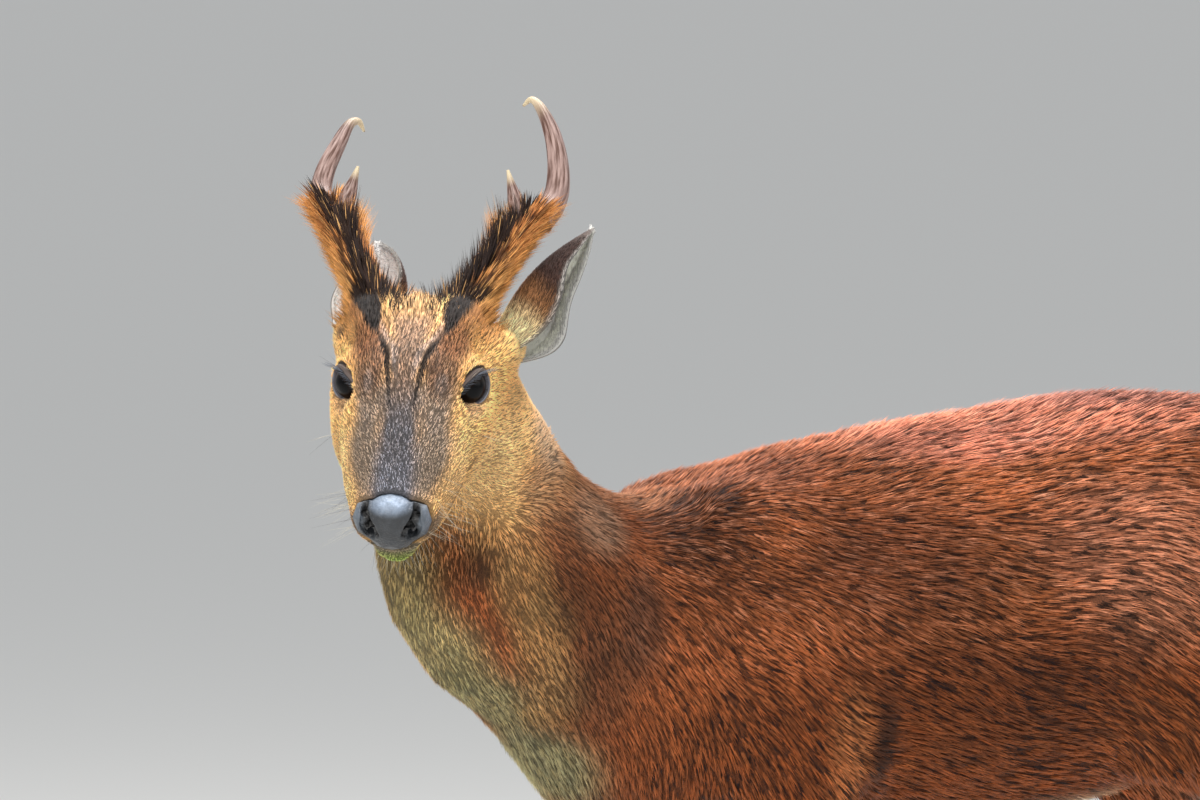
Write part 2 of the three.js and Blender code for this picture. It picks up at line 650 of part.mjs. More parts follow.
// Line of the mouth: a narrow groove from one corner round the front to the other
const MOUTH_MIDDLE = [52, 0, -24];
const MOUTH_SPREAD = 122; // degrees from the front to each corner, seen from the mouth's middle
const MOUTH_STEPS = 22;
const MOUTH_DEPTH = 6;
const MOUTH_OPENING = 1.8;
function makeMouthGroove() {
  const rows = [];
  for (let i = 0; i <= MOUTH_STEPS; i++) {
    const turn = mix(-MOUTH_SPREAD, MOUTH_SPREAD, i / MOUTH_STEPS) * DEG;
    const ray = vec(Math.cos(turn), Math.sin(turn), 0.03 * Math.cos(turn));
    const start = vec(...MOUTH_MIDDLE);
    const skin = hit(headField, start, ray, 0, 200);
    const inner = skin.clone().addScaledVector(ray, -MOUTH_DEPTH);
    const outer = skin.clone().addScaledVector(ray, 3);
    const half = vec(0, 0, MOUTH_OPENING / 2);
    rows.push([outer.clone().add(half), inner, outer.clone().sub(half)]);
  }
  return facingOut(loft(rows));
}

// Nose leather: a pad with a wing round each comma-shaped nostril
const NOSE_TIP = [111, 0, -5];
const noseMasses = [
  [egg(NOSE_TIP, [9, 14, 14]), 3],
  [egg([107, 0, 5], [11, 12, 8]), 6],
  [egg([109, 0, -15], [9, 14, 7]), 6],
];
for (const s of BOTH) {
  noseMasses.push([egg([105, s * 15, -4], [10, 8.5, 12], 0, s * 18), 4]);
}
const noseField = flowTogether(noseMasses);
const makeNoseBody = (grow = 0) =>
  wrap(noseField, curveThrough([[107, -12, -4], [108, 0, -4], [107, 12, -4]]), {
    rings: 6,
    sides: 14,
    caps: 2,
    grow,
    side: vec(1, 0, 0),
  });
const onNose = (y, z, depth) => {
  const skin = hit(noseField, vec(NOSE_TIP[0] - 6, y, z), vec(1, 0, 0), 0, 60);
  return [skin.x - depth, y, z];
};
function makeNostril(s) {
  const passage = curveThrough([
    onNose(s * 12.5, -8, -4),
    onNose(s * 12.5, -7.5, 3),
    [NOSE_TIP[0] - 9, s * 14, -3],
  ]);
  const comma = curveThrough([
    onNose(s * 13, -9, 1),
    onNose(s * 16, -5, 1),
    onNose(s * 17.5, 0, 1),
    onNose(s * 16, 6, 1),
  ]);
  const hole = facingOut(rod(passage, 2, 7, (t) => mix(4.2, 2.6, t), () => 1.15));
  return hole.add(facingOut(rod(comma, 4, 5, (t) => mix(3.4, 1.1, t))));
}

// Ears: cupped shells. Each entry has root, tip, and the way the cup faces, in the upright frame.
// The half angle of the cup goes from curl[0] to curl[1] over the first `opens` of the length, and
// the cup is turned by `lean` degrees and bent back by `bow` millimetres.
const EARS = {
  left: {
    s: 1,
    root: [46.5, 48, 18.5],
    tip: [99.5, 97, 91],
    faces: [1, 0, 0.03],
    width: 54,
    curl: [140, 84],
    opens: 0.69,
    lean: -4,
    bow: 8,
  },
  right: {
    s: -1,
    root: [37.5, 47.5, 14.5],
    tip: [37.5, 116, 81.5],
    faces: [0.045, -0.68, 0.73],
    width: 51.5,
    curl: [148, 91],
    opens: 0.3,
    lean: 28,
    bow: 6,
  },
};
const EAR_ROWS = 9;
const EAR_COLUMNS = 8;
const earHalfWidth = (t) => {
  const spread = 0.36 + 0.64 * Math.sin((Math.min(1, t * 1.9) * Math.PI) / 2);
  const past = Math.max(0, (t - 0.4) / 0.6);
  return (spread * Math.max(0.06, 1 - past ** 1.6) ** 0.85) / 2;
};
function makeEar({ s, root, tip, faces, width, curl: [closed, wide], opens, lean, bow }) {
  const place = ([out, back, up]) => vec(...upright(s * out, back, up));
  const from = place(root);
  const to = place(tip);
  const along = to.clone().sub(from);
  const length = along.length();
  along.normalize();
  const open = place(faces).sub(place([0, 0, 0]));
  open.addScaledVector(along, -open.dot(along)).normalize();
  const across = new THREE.Vector3().crossVectors(along, open);
  const outer = [];
  const inner = [];
  for (let r = 0; r <= EAR_ROWS; r++) {
    const t = r / EAR_ROWS;
    const curl = mix(closed, wide, smooth(t, 0, opens)) * DEG;
    const radius = (width * earHalfWidth(t)) / Math.sin(Math.min(curl, Math.PI / 2));
    const bend = bow * Math.sin(t * Math.PI) - 4 * t;
    const middle = from.clone().addScaledVector(along, length * t).addScaledVector(open, radius - bend - 8);
    const turn = lean * DEG * Math.sqrt(Math.sin(t * Math.PI));
    const rim = mix(EAR_THICKNESS, 1.4, t);
    const point = (angle, reach) =>
      middle
        .clone()
        .addScaledVector(open, -Math.cos(angle) * reach)
        .addScaledVector(across, Math.sin(angle) * reach);
    const outerRow = [];
    const innerRow = [];
    for (let c = 0; c <= EAR_COLUMNS; c++) {
      const angle = mix(-curl, curl, c / EAR_COLUMNS);
      const edge = Math.abs(mix(-1, 1, c / EAR_COLUMNS)) ** 4;
      outerRow.push(point(angle + turn, radius));
      innerRow.push(point(angle * 0.97 + turn, Math.max(radius - rim * (1 - 0.4 * edge), radius * 0.45)));
    }
    outer.push(outerRow);
    inner.push(innerRow);
  }
  const bulb = new THREE.SphereGeometry(1, 10, 7).scale(14, 14, 15);
  const seat = from.clone().addScaledVector(along, 4);
  return facingOut(slab(outer, inner)).add(solidOf(bulb.translate(...seat)));
}

// Two sheets of points of the same rows and columns, joined round their edge into a closed slab
function slab(outer, inner) {
  const corners = [];
  const quad = (a, b, c, d) => corners.push(a, b, c, a, c, d);
  const last = outer.length - 1;
  const end = outer[0].length - 1;
  for (let r = 0; r < last; r++) {
    for (let c = 0; c < end; c++) {
      quad(outer[r][c], outer[r][c + 1], outer[r + 1][c + 1], outer[r + 1][c]);
      quad(inner[r][c], inner[r + 1][c], inner[r + 1][c + 1], inner[r][c + 1]);
    }
    quad(outer[r][0], outer[r + 1][0], inner[r + 1][0], inner[r][0]);
    quad(outer[r][end], inner[r][end], inner[r + 1][end], outer[r + 1][end]);
  }
  for (let c = 0; c < end; c++) {
    quad(outer[0][c], inner[0][c], inner[0][c + 1], outer[0][c + 1]);
    quad(outer[last][c], outer[last][c + 1], inner[last][c + 1], inner[last][c]);
  }
  return new THREE.BufferGeometry().setFromPoints(corners);
}

// Pedicles and antlers, in the upright frame. The left beam is the longer one.
const ANTLERS = {
  left: {
    s: 1,
    girth: 1.12,
    beam: [
      [66, 70, 98], [74, 80, 109], [75, 90, 125], [69, 103, 149],
      [59, 112, 166], [54, 116, 169], [49, 120, 165],
    ],
    tine: [[57, 64, 90], [54, 64, 103], [47, 64, 128]],
  },
  right: {
    s: -1,
    girth: 1,
    beam: [
      [64, 70, 100], [68, 79, 110], [67, 88, 122], [61, 99, 138],
      [55, 111, 151], [51, 116, 152], [48, 120, 146],
    ],
    tine: [[54, 64, 94], [50, 64, 107], [44, 64, 127]],
  },
};
const PEDICLE_LINE = [[20, 14, 22], [26, 25, 38], [46, 49, 74], [64, 70, 104]];
const PEDICLE_CORE = 15; // radius of the dense hair that the locks grow out of
const PEDICLE_LOCK_ROWS = 7;
const PEDICLE_LOCKS_ROUND = 6;
const inHead = (s, points) => curveThrough(points.map(([out, back, up]) => upright(s * out, back, up)));

// The bristly hair of a pedicle: locks lie up along it, lean outwards and pass its top
function makePedicle(s) {
  const line = inHead(s, PEDICLE_LINE);
  const draw = drawFrom(s > 0 ? 11 : 29);
  const locks = [];
  for (let r = 0; r < PEDICLE_LOCK_ROWS; r++) {
    for (let k = 0; k < PEDICLE_LOCKS_ROUND; k++) {
      const t = 0.06 + (0.84 * (r + 0.5 * draw())) / PEDICLE_LOCK_ROWS;
      const turn = ((k + 0.5 * (r % 2) + 0.4 * (draw() - 0.5)) / PEDICLE_LOCKS_ROUND) * 2 * Math.PI;
      const { root, ahead, outward } = onRod(line, t, turn, PEDICLE_CORE);
      locks.push(
        lock(root, ahead, outward, {
          length: mix(24, 31, draw()),
          width: mix(12, 15, draw()),
          thickness: mix(3.4, 4.4, draw()),
          lift: mix(5, 8, draw()),
          sink: 4,
          sway: mix(-0.14, 0.14, draw()),
        }),
      );
    }
  }
  const core = facingOut(rod(line, 6, 10, (t) => PEDICLE_CORE * (t > 0.93 ? 0.8 : 1)));
  return joined([core, ...locks]);
}

const BEAM_RADII = [8.5, 6.8, 6.2, 5.4, 4.4, 2.9, 0.8];
const radiusAlong = (radii, grow, girth = 1) => (t) => {
  const at = Math.min(t, 0.9999) * (radii.length - 1);
  const k = Math.floor(at);
  return mix(radii[k], radii[k + 1], at - k) * girth + grow;
};
function makeBeam({ s, beam, girth }, grow = 0) {
  return facingOut(rod(inHead(s, beam), 13, 9, radiusAlong(BEAM_RADII, grow, girth)));
}
function makeTine({ s, tine }, grow = 0) {
  return facingOut(rod(inHead(s, tine), 4, 8, radiusAlong([6.6, 4.8, 0.8], grow)));
}

// Assembly
const group = new THREE.Group();
const material = (color, roughness) => new THREE.MeshStandardMaterial({ color, roughness });
const skins = {
  coat: material(0x9a4a22, 0.85),
  leather: material(0x4a4c50, 0.45),
  eye: material(0x15100c, 0.1),
  antler: material(0x9c7c6c, 0.5),
  horn: material(0x2c2622, 0.5),
};
function show(name, solid, skin, parent = group) {
  const mesh = new THREE.Mesh(geometryOf(largestPiece(solid)), skin);
  mesh.name = name;
  parent.add(mesh);
}

const grownTrunk = [makeTorso(GAP)];
show("torso", makeTorso(), skins.coat);
show("neck", makeNeck(), skins.coat);
for (const [name, s] of Object.entries(SIDES)) {
  const legs = {
    fore: [makeForeleg, foreOf[name]],
    hind: [makeHindleg, hindOf[name]],
  };
  for (const [kind, [makeLeg, joints]] of Object.entries(legs)) {
    let leg = makeLeg(s, joints);
    if (kind === "hind") grownTrunk.push(makeLeg(s, joints, GAP));
    for (const side of BOTH) {
      const place = side === s ? "outer" : "inner";
      show(`hoof_${kind}_${name}_${place}`, makeHoof(joints.coronet, side), skins.horn);
      show(`dewclaw_${kind}_${name}_${place}`, makeDewclaw(joints.fetlock, side), skins.horn);
      leg = leg.subtract(makeDewclaw(joints.fetlock, side, GAP));
    }
    show(`${kind}leg_${name}`, leg, skins.coat);
  }
}
show("tail", grownTrunk.reduce((rest, solid) => rest.subtract(solid), makeTail()), skins.coat);

let head = insideOf([throatCutLocal], makeHeadSkin());
const grownNeck = solidOf(geometryOf(makeNeck(GAP)).applyMatrix4(worldToHead));
const grownHead = makeHeadSkin(GAP).add(grownNeck);
for (const [name, s] of Object.entries(SIDES)) {
  const side = s === -1 ? 1 : -1; // the left is at +Y in the head's own frame
  const opening = lidOpening(side);
  head = head.add(eyeBall(side, LID_THICKNESS)).subtract(opening).subtract(eyeBall(side, GAP));
  show(`eye_${name}`, eyeBall(side, 0), skins.eye, headGroup);
  show(`ear_${name}`, makeEar(EARS[name]).subtract(grownHead), skins.coat, headGroup);
  const antler = ANTLERS[name];
  const grownBeam = makeBeam(antler, GAP);
  const pedicle = makePedicle(side)
    .subtract(grownHead)
    .subtract(grownBeam)
    .subtract(makeTine(antler, GAP));
  show(`pedicle_${name}`, pedicle, skins.coat, headGroup);
  show(`antler_${name}`, makeBeam(antler), skins.antler, headGroup);
  show(`brow_tine_${name}`, makeTine(antler).subtract(grownBeam), skins.antler, headGroup);
}
let nose = makeNoseBody();
for (const s of BOTH) nose = nose.subtract(makeNostril(s));
head = head.subtract(makeMouthGroove()).subtract(makeNoseBody(GAP));
show("nose_pad", nose, skins.leather, headGroup);
show("head", head, skins.coat, headGroup);
group.add(headGroup);

// The model is moved so that its box stands on the origin by the middle of its base
group.updateMatrixWorld(true);
const box = new THREE.Box3().setFromObject(group, true);
group.position.set(-(box.min.x + box.max.x) / 2, -(box.min.y + box.max.y) / 2, -box.min.z);
group.updateMatrixWorld(true);

export default group;
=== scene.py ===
import math

import bpy
import numpy as np
from mathutils import Matrix, Vector, kdtree
from mathutils.bvhtree import BVHTree


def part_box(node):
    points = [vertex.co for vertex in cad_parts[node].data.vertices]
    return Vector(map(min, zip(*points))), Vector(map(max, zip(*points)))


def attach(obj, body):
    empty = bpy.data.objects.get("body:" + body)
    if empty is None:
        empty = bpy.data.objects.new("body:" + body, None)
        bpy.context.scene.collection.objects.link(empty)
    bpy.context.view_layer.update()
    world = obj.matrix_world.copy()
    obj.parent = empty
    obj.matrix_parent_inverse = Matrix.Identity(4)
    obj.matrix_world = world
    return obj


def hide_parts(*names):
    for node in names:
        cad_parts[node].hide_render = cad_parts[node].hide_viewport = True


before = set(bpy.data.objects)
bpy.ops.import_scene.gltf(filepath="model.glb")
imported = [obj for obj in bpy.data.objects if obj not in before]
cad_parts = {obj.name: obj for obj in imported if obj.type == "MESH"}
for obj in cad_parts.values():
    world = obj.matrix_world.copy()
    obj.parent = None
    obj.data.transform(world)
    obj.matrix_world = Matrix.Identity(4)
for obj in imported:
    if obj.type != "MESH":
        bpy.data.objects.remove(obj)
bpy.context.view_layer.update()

bpy.ops.object.select_all(action="DESELECT")

# Camera
# A long lens at the animal's own height, a little to the left of its front. It is placed by the
# point midway between the eyes, which the picture shows at (411, 383) at 0.6 mm to the pixel.
MM = 0.001


def middle_of(node):
    low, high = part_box(node)
    return (np.array(low) + np.array(high)) / 2


eyes_middle = (middle_of("eye_left") + middle_of("eye_right")) / 2
PICTURE_WIDTH, PICTURE_HEIGHT, PIXEL = 1200, 800, 0.6 * MM
EYES_ACROSS, EYES_DOWN = 411, 383
CAMERA_TURN, CAMERA_RISE, CAMERA_DISTANCE = math.radians(-28), math.radians(3), 9.0
level = math.cos(CAMERA_RISE)
away = Vector((math.sin(CAMERA_TURN) * level, -math.cos(CAMERA_TURN) * level, math.sin(CAMERA_RISE)))
aim = (-away).to_track_quat("-Z", "Y")
bpy.ops.object.camera_add()
camera = bpy.context.object
camera.name = "camera"
camera.rotation_mode = "QUATERNION"
camera.rotation_quaternion = aim
shift = Vector((PICTURE_WIDTH / 2 - EYES_ACROSS, EYES_DOWN - PICTURE_HEIGHT / 2, 0)) * PIXEL
camera.location = Vector(eyes_middle) + aim @ shift + away * CAMERA_DISTANCE
camera.data.sensor_width = 36
camera.data.lens = camera.data.sensor_width * CAMERA_DISTANCE / (PICTURE_WIDTH * PIXEL)
camera.data.clip_end = 300
bpy.context.scene.camera = camera

# Floor and light
# A plain pale floor that runs far back, an even sky, one broad soft lamp above the camera's left
# and a weaker one at its right.
def new_material(name):
    """A material with its node tree and its shader."""
    material = bpy.data.materials.new(name)
    material.use_nodes = True
    return material, material.node_tree, material.node_tree.nodes["Principled BSDF"]


def feed(tree, node, **inputs):
    """Sets each input of a node to a value, or links it where another node's output is given."""
    for label, value in inputs.items():
        socket = node.inputs[label.replace("_", " ")]
        if isinstance(value, bpy.types.NodeSocket):
            tree.links.new(value, socket)
        else:
            socket.default_value = value


def add_node(tree, kind, settings=(), **inputs):
    node = tree.nodes.new(kind)
    for label, value in dict(settings).items():
        setattr(node, label, value)
    feed(tree, node, **inputs)
    return node


def toned(tree, value, low, high):
    """Colours of a ramp between two points, each given as its position and its colour."""
    ramp = add_node(tree, "ShaderNodeValToRGB", Fac=value)
    for element, (position, colour) in zip(ramp.color_ramp.elements, (low, high)):
        element.position = position
        element.color = (*colour, 1)
    return ramp.outputs["Color"]


bpy.context.scene.view_settings.view_transform = "Standard"
bpy.ops.mesh.primitive_plane_add(size=300, location=(0, 0, 0))
floor = bpy.context.object
floor.name = "floor"
floor_paint, tree, shader = new_material("floor_paint")
clouds = add_node(tree, "ShaderNodeTexNoise", Scale=0.7).outputs["Fac"]
pale = toned(tree, clouds, (0, (0.72, 0.73, 0.72)), (1, (0.77, 0.77, 0.75)))
feed(tree, shader, Base_Color=pale, Roughness=0.9)
floor.data.materials.append(floor_paint)

sky = bpy.data.worlds.new("sky")
bpy.context.scene.world = sky
sky.use_nodes = True
feed(sky.node_tree, sky.node_tree.nodes["Background"], Color=(0.97, 0.98, 1.0, 1), Strength=0.6)
LAMPS_LOOK_AT = Vector((0, 0, 0.45))


def softbox(name, place, size, watts, colour):
    bpy.ops.object.light_add(type="AREA", location=place)
    lamp = bpy.context.object
    lamp.name = name
    lamp.data.shape = "RECTANGLE"
    lamp.data.size, lamp.data.size_y = size
    lamp.data.energy = watts
    lamp.data.color = colour
    lamp.rotation_mode = "QUATERNION"
    lamp.rotation_quaternion = (LAMPS_LOOK_AT - Vector(place)).to_track_quat("-Z", "Y")


softbox("key_light", (-2.6, -2.2, 2.4), (2.2, 1.6), 120, (1.0, 0.96, 0.90))
softbox("fill_light", (2.4, -2.6, 1.3), (2.0, 1.6), 20, (0.97, 0.98, 1.0))
softbox("top_light", (0.4, 0.6, 3.0), (2.6, 2.0), 115, (1.0, 0.97, 0.95))

# Skin
# One unbroken hide over trunk, neck, head, legs, ears and the stems of the antlers. It lies under
# the coat, a few millimetres down on the body and less than one on the face. It is modelled by
# fusing the body's sub-parts, smoothing them, and then shaping lids, glands and mouth finely.
HEAD_TURN, HEAD_DROP, HEAD_LEAN = 54, 44, 2.5
head_axes = np.array(
    Matrix.Rotation(math.radians(180 + HEAD_TURN), 3, "Z")
    @ Matrix.Rotation(math.radians(HEAD_DROP), 3, "Y")
    @ Matrix.Rotation(math.radians(-HEAD_LEAN), 3, "X")
)
head_origin = eyes_middle - head_axes @ (0, 0, 1 * MM)
MIDLINE = 29.4  # the trunk's middle plane, mm


def from_head(points):
    """Metres in the frame from the head's own millimetres: x to the nose, y to its left, z up."""
    return head_origin + np.asarray(points, float) * MM @ head_axes.T


def to_head(points):
    return (np.asarray(points) - head_origin) @ head_axes / MM


def upright(out, back, up):
    """The head's own place of a point given out, back and up from between the eyes."""
    sine, cosine = math.sin(math.radians(HEAD_DROP)), math.cos(math.radians(HEAD_DROP))
    return [-sine * up - cosine * back, out, cosine * up - sine * back]


def eased(value, start, end):
    t = np.clip((np.asarray(value, float) - start) / (end - start), 0, 1)
    return t * t * (3 - 2 * t)


def peak(value, middle, width):
    return np.exp(-(((value - middle) / width) ** 2))


def one_side(points):
    """The same places with y as the distance from the middle, so that both sides are served."""
    return points * (1, 0, 1) + np.abs(points) * (0, 1, 0)


def length_of(vectors):
    return np.sqrt((vectors * vectors).sum(-1))


def unit(vectors):
    return vectors / np.maximum(length_of(vectors), 1e-12)[..., None]


def smooth_line(points, count):
    """Evenly spaced places and directions along a smooth curve through the points."""
    p = np.asarray(points, float)
    p = np.vstack([2 * p[0] - p[1], p, 2 * p[-1] - p[-2]])
    knots = np.concatenate([[0], np.cumsum(length_of(np.diff(p, axis=0)) ** 0.5)])
    fine = []
    for i in range(1, len(p) - 2):
        t = np.linspace(knots[i], knots[i + 1], 24, endpoint=False)[:, None]
        k0, k1, k2, k3 = knots[i - 1 : i + 3]
        a1 = (k1 - t) / (k1 - k0) * p[i - 1] + (t - k0) / (k1 - k0) * p[i]
        a2 = (k2 - t) / (k2 - k1) * p[i] + (t - k1) / (k2 - k1) * p[i + 1]
        a3 = (k3 - t) / (k3 - k2) * p[i + 1] + (t - k2) / (k3 - k2) * p[i + 2]
        b1 = (k2 - t) / (k2 - k0) * a1 + (t - k0) / (k2 - k0) * a2
        b2 = (k3 - t) / (k3 - k1) * a2 + (t - k1) / (k3 - k1) * a3
        fine.append((k2 - t) / (k2 - k1) * b1 + (t - k1) / (k2 - k1) * b2)
    fine = np.vstack(fine + [p[-2:-1]])
    run = np.concatenate([[0], np.cumsum(length_of(np.diff(fine, axis=0)))])
    at = np.linspace(0, run[-1], count)
    places = np.stack([np.interp(at, run, fine[:, k]) for k in range(3)], 1)
    return places, unit(np.gradient(places, axis=0))


def rings_round(places, ahead, radii, sides, flat=1.0, side=(0.0, 1.0, 0.0)):
    """Rings of points round a line; `radii` is one number per place, or one per point of a ring."""
    out = unit(np.asarray(side, float) - (ahead @ np.asarray(side, float))[:, None] * ahead)
    up = np.cross(ahead, out)
    turn = np.linspace(0, 2 * math.pi, sides, endpoint=False)
    radii = np.asarray(radii, float)
    radii = radii[:, None] if radii.ndim == 1 else radii
    return (
        places[:, None]
        + out[:, None] * (np.cos(turn)[None, :] * radii)[..., None]
        + up[:, None] * (np.sin(turn)[None, :] * radii * flat)[..., None]
    )


def new_piece(name, points, faces):
    mesh = bpy.data.meshes.new(name)
    mesh.from_pydata([tuple(p) for p in points], [], [tuple(int(i) for i in f) for f in faces])
    mesh.update()
    piece = bpy.data.objects.new(name, mesh)
    bpy.context.collection.objects.link(piece)
    return piece


def ring_faces(rows, sides):
    """Faces between rings of points, with a fan over each end's own middle point."""
    faces = []
    for r in range(rows - 1):
        for k in range(sides):
            n = (k + 1) % sides
            faces.append((r * sides + k, r * sides + n, (r + 1) * sides + n, (r + 1) * sides + k))
    first, last = rows * sides, rows * sides + 1
    for k in range(sides):
        n = (k + 1) % sides
        faces.append((n, k, first))
        faces.append(((rows - 1) * sides + k, (rows - 1) * sides + n, last))
    return faces


def rod_piece(name, rings):
    rows, sides = rings.shape[:2]
    points = np.vstack([rings.reshape(-1, 3), rings[0].mean(0), rings[-1].mean(0)])
    return new_piece(name, points, ring_faces(rows, sides))


def choose(piece, others=()):
    bpy.ops.object.select_all(action="DESELECT")
    for other in others:
        other.select_set(True)
    piece.select_set(True)
    bpy.context.view_layer.objects.active = piece


def turn_outward(piece):
    """Makes all faces look outward and smooth."""
    choose(piece)
    bpy.ops.object.mode_set(mode="EDIT")
    bpy.ops.mesh.select_all(action="SELECT")
    bpy.ops.mesh.normals_make_consistent(inside=False)
    bpy.ops.object.mode_set(mode="OBJECT")
    bpy.ops.object.shade_smooth()


def copy_of(nodes, name):
    """The CAD nodes' own shapes as one new mesh with its doubles merged."""
    copies = []
    for node in nodes:
        copy = bpy.data.objects.new(name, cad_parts[node].data.copy())
        bpy.context.collection.objects.link(copy)
        copies.append(copy)
    choose(copies[0], copies)
    if len(copies) > 1:
        bpy.ops.object.join()
    piece = bpy.context.object
    piece.name = name
    bpy.ops.object.mode_set(mode="EDIT")
    bpy.ops.mesh.select_all(action="SELECT")
    bpy.ops.mesh.remove_doubles(threshold=1e-6)
    bpy.ops.object.mode_set(mode="OBJECT")
    piece.data.materials.clear()
    return piece


def swell(piece, amount):
    choose(piece)
    push = piece.modifiers.new("swell", "DISPLACE")
    push.strength, push.mid_level = amount, 0
    bpy.ops.object.modifier_apply(modifier=push.name)


def voxel_skin(piece, size):
    choose(piece)
    piece.data.remesh_voxel_size = size
    piece.data.remesh_voxel_adaptivity = 0
    bpy.ops.object.voxel_remesh()


def read_all(collection, name, width=1, kind=np.float32):
    """One property of every item of a mesh's collection, as rows of `width` numbers."""
    values = np.empty(len(collection) * width, kind)
    collection.foreach_get(name, values)
    return values.reshape(-1, width) if width > 1 else values


def places_of(mesh):
    return read_all(mesh.vertices, "co", 3).astype(float)


def put_places(mesh, places):
    mesh.vertices.foreach_set("co", np.ascontiguousarray(places, np.float32).ravel())
    mesh.update()


def outward_of(mesh):
    return read_all(mesh.vertex_normals, "vector", 3).astype(float)


def relax(mesh, rounds, weight=None):
    """Smooths a mesh without shrinking it."""
    places = places_of(mesh)
    a, b = read_all(mesh.edges, "vertices", 2, np.int32).T
    count = len(places)
    share = np.maximum(np.bincount(a, minlength=count) + np.bincount(b, minlength=count), 1)
    weight = np.ones(count) if weight is None else weight
    for _ in range(rounds):
        for step in (0.55, -0.58):
            total = np.stack(
                [
                    np.bincount(a, places[b, k], count) + np.bincount(b, places[a, k], count)
                    for k in range(3)
                ],
                1,
            )
            places += (step * weight)[:, None] * (total / share[:, None] - places)
    put_places(mesh, places)


def open_faces(piece, chosen):
    """Goes into edit mode with those faces selected whose corners are all chosen."""
    choose(piece)
    bpy.ops.object.mode_set(mode="EDIT")
    bpy.ops.mesh.select_mode(type="VERT")
    bpy.ops.mesh.select_all(action="DESELECT")
    bpy.ops.object.mode_set(mode="OBJECT")
    piece.data.vertices.foreach_set("select", np.ascontiguousarray(chosen, bool))
    bpy.ops.object.mode_set(mode="EDIT")
    bpy.ops.mesh.select_mode(type="FACE")


def close_faces():
    bpy.ops.mesh.select_mode(type="VERT")
    bpy.ops.object.mode_set(mode="OBJECT")


def refine(piece, chosen):
    """Splits each face whose corners are all chosen."""
    open_faces(piece, chosen)
    bpy.ops.mesh.subdivide(number_cuts=1)
    close_faces()


SIDES = {"left": 1, "right": -1}
PEDICLE_LINE = [[20, 14, 22], [26, 25, 38], [46, 49, 74], [64, 70, 104]]


def in_head(side, points):
    return [upright(side * out, back, up) for out, back, up in points]


LEGS = [f"{leg}_{side}" for leg in ("foreleg", "hindleg") for side in SIDES]
skin = copy_of(["torso", "neck", "head", "eye_left", "eye_right", *LEGS], "skin")
swell(skin, 0.4 * MM)
stems = []
for side, s in SIDES.items():
    places, ahead = smooth_line(in_head(s, PEDICLE_LINE), 12)
    thick = 13.5 - 3.5 * np.linspace(0, 1, 12) ** 2
    rings = from_head(rings_round(places, ahead, thick, 16))
    stems.append(rod_piece("stem", rings))
TAIL_LINE = [[354, 29, 492], [380, 29, 470], [394, 31, 430], [398, 33, 385], [394, 34, 348]]
TAIL_FLATNESS = 0.62


def tail_girth(t):
    return 8 + 4.5 * np.sin(np.minimum(1, np.asarray(t) * 1.3) * math.pi * 0.8)


places, ahead = smooth_line(TAIL_LINE, 14)
tail_radii = tail_girth(np.linspace(0, 1, 14))
stems.append(rod_piece("stem", rings_round(places, ahead, tail_radii, 16, TAIL_FLATNESS) * MM))
choose(skin, stems)
bpy.ops.object.join()
voxel_skin(skin, 4.2 * MM)
relax(skin.data, 9)


def near_head(mesh, margin=0):
    x, y, z = to_head(places_of(mesh)).T
    return (x > -62 - margin) & (z > -78 - margin) & (np.abs(y) < 75)


refine(skin, near_head(skin.data))
relax(skin.data, 5, near_head(skin.data, 6).astype(float))

# Eyes look out and a little up; the opening's corners and lids are given in degrees from the gaze.
EYE_RADIUS = 14.2
EYE_CENTRE = np.array([0, 31.5, 1.0])
EYE_YAW, EYE_PITCH = 48, 22
OPENING = {"left": (56, 54), "right": (50, 58)}  # to the outer and inner corners
UPPER_LID, LOWER_LID, OPENING_TILT = 30, 34, 6
eye_places, eye_axes = {}, {}
for side, s in SIDES.items():
    eye_places[side] = EYE_CENTRE * (1, s, 1)
    turn = Matrix.Rotation(s * math.radians(EYE_YAW), 3, "Z") @ Matrix.Rotation(
        -math.radians(EYE_PITCH), 3, "Y"
    )
    gaze, across, rise = np.array(turn).T
    eye_axes[side] = np.stack([gaze, s * across, rise])  # gaze, outwards, upwards


def eye_polar(side, points):
    off = points - eye_places[side]
    reach = length_of(off)
    local = (off / reach[:, None]) @ eye_axes[side].T
    out = np.degrees(np.arctan2(local[:, 1], local[:, 0]))
    up = np.degrees(np.arcsin(np.clip(local[:, 2], -1, 1)))
    return out, up, reach


def from_eye(side, out, up, reach):
    out, up = np.radians(out), np.radians(up)
    local = np.stack([np.cos(up) * np.cos(out), np.cos(up) * np.sin(out), np.sin(up)], 1)
    return eye_places[side] + (local * np.asarray(reach)[:, None]) @ eye_axes[side]


def lid_line(side, count=96):
    """The edge of the lids, round from the outer corner over the upper lid, in degrees."""
    a = np.linspace(0, 2 * math.pi, count, endpoint=False)
    outwards = np.sign(np.cos(a)) * np.abs(np.cos(a)) ** 0.85
    outer, inner = OPENING[side]
    out = outwards * np.where(outwards > 0, outer, inner)
    lid = np.where(np.sin(a) > 0, UPPER_LID, LOWER_LID)
    up = np.sign(np.sin(a)) * np.abs(np.sin(a)) ** 1.35 * lid
    return out, up + math.tan(math.radians(OPENING_TILT)) * out


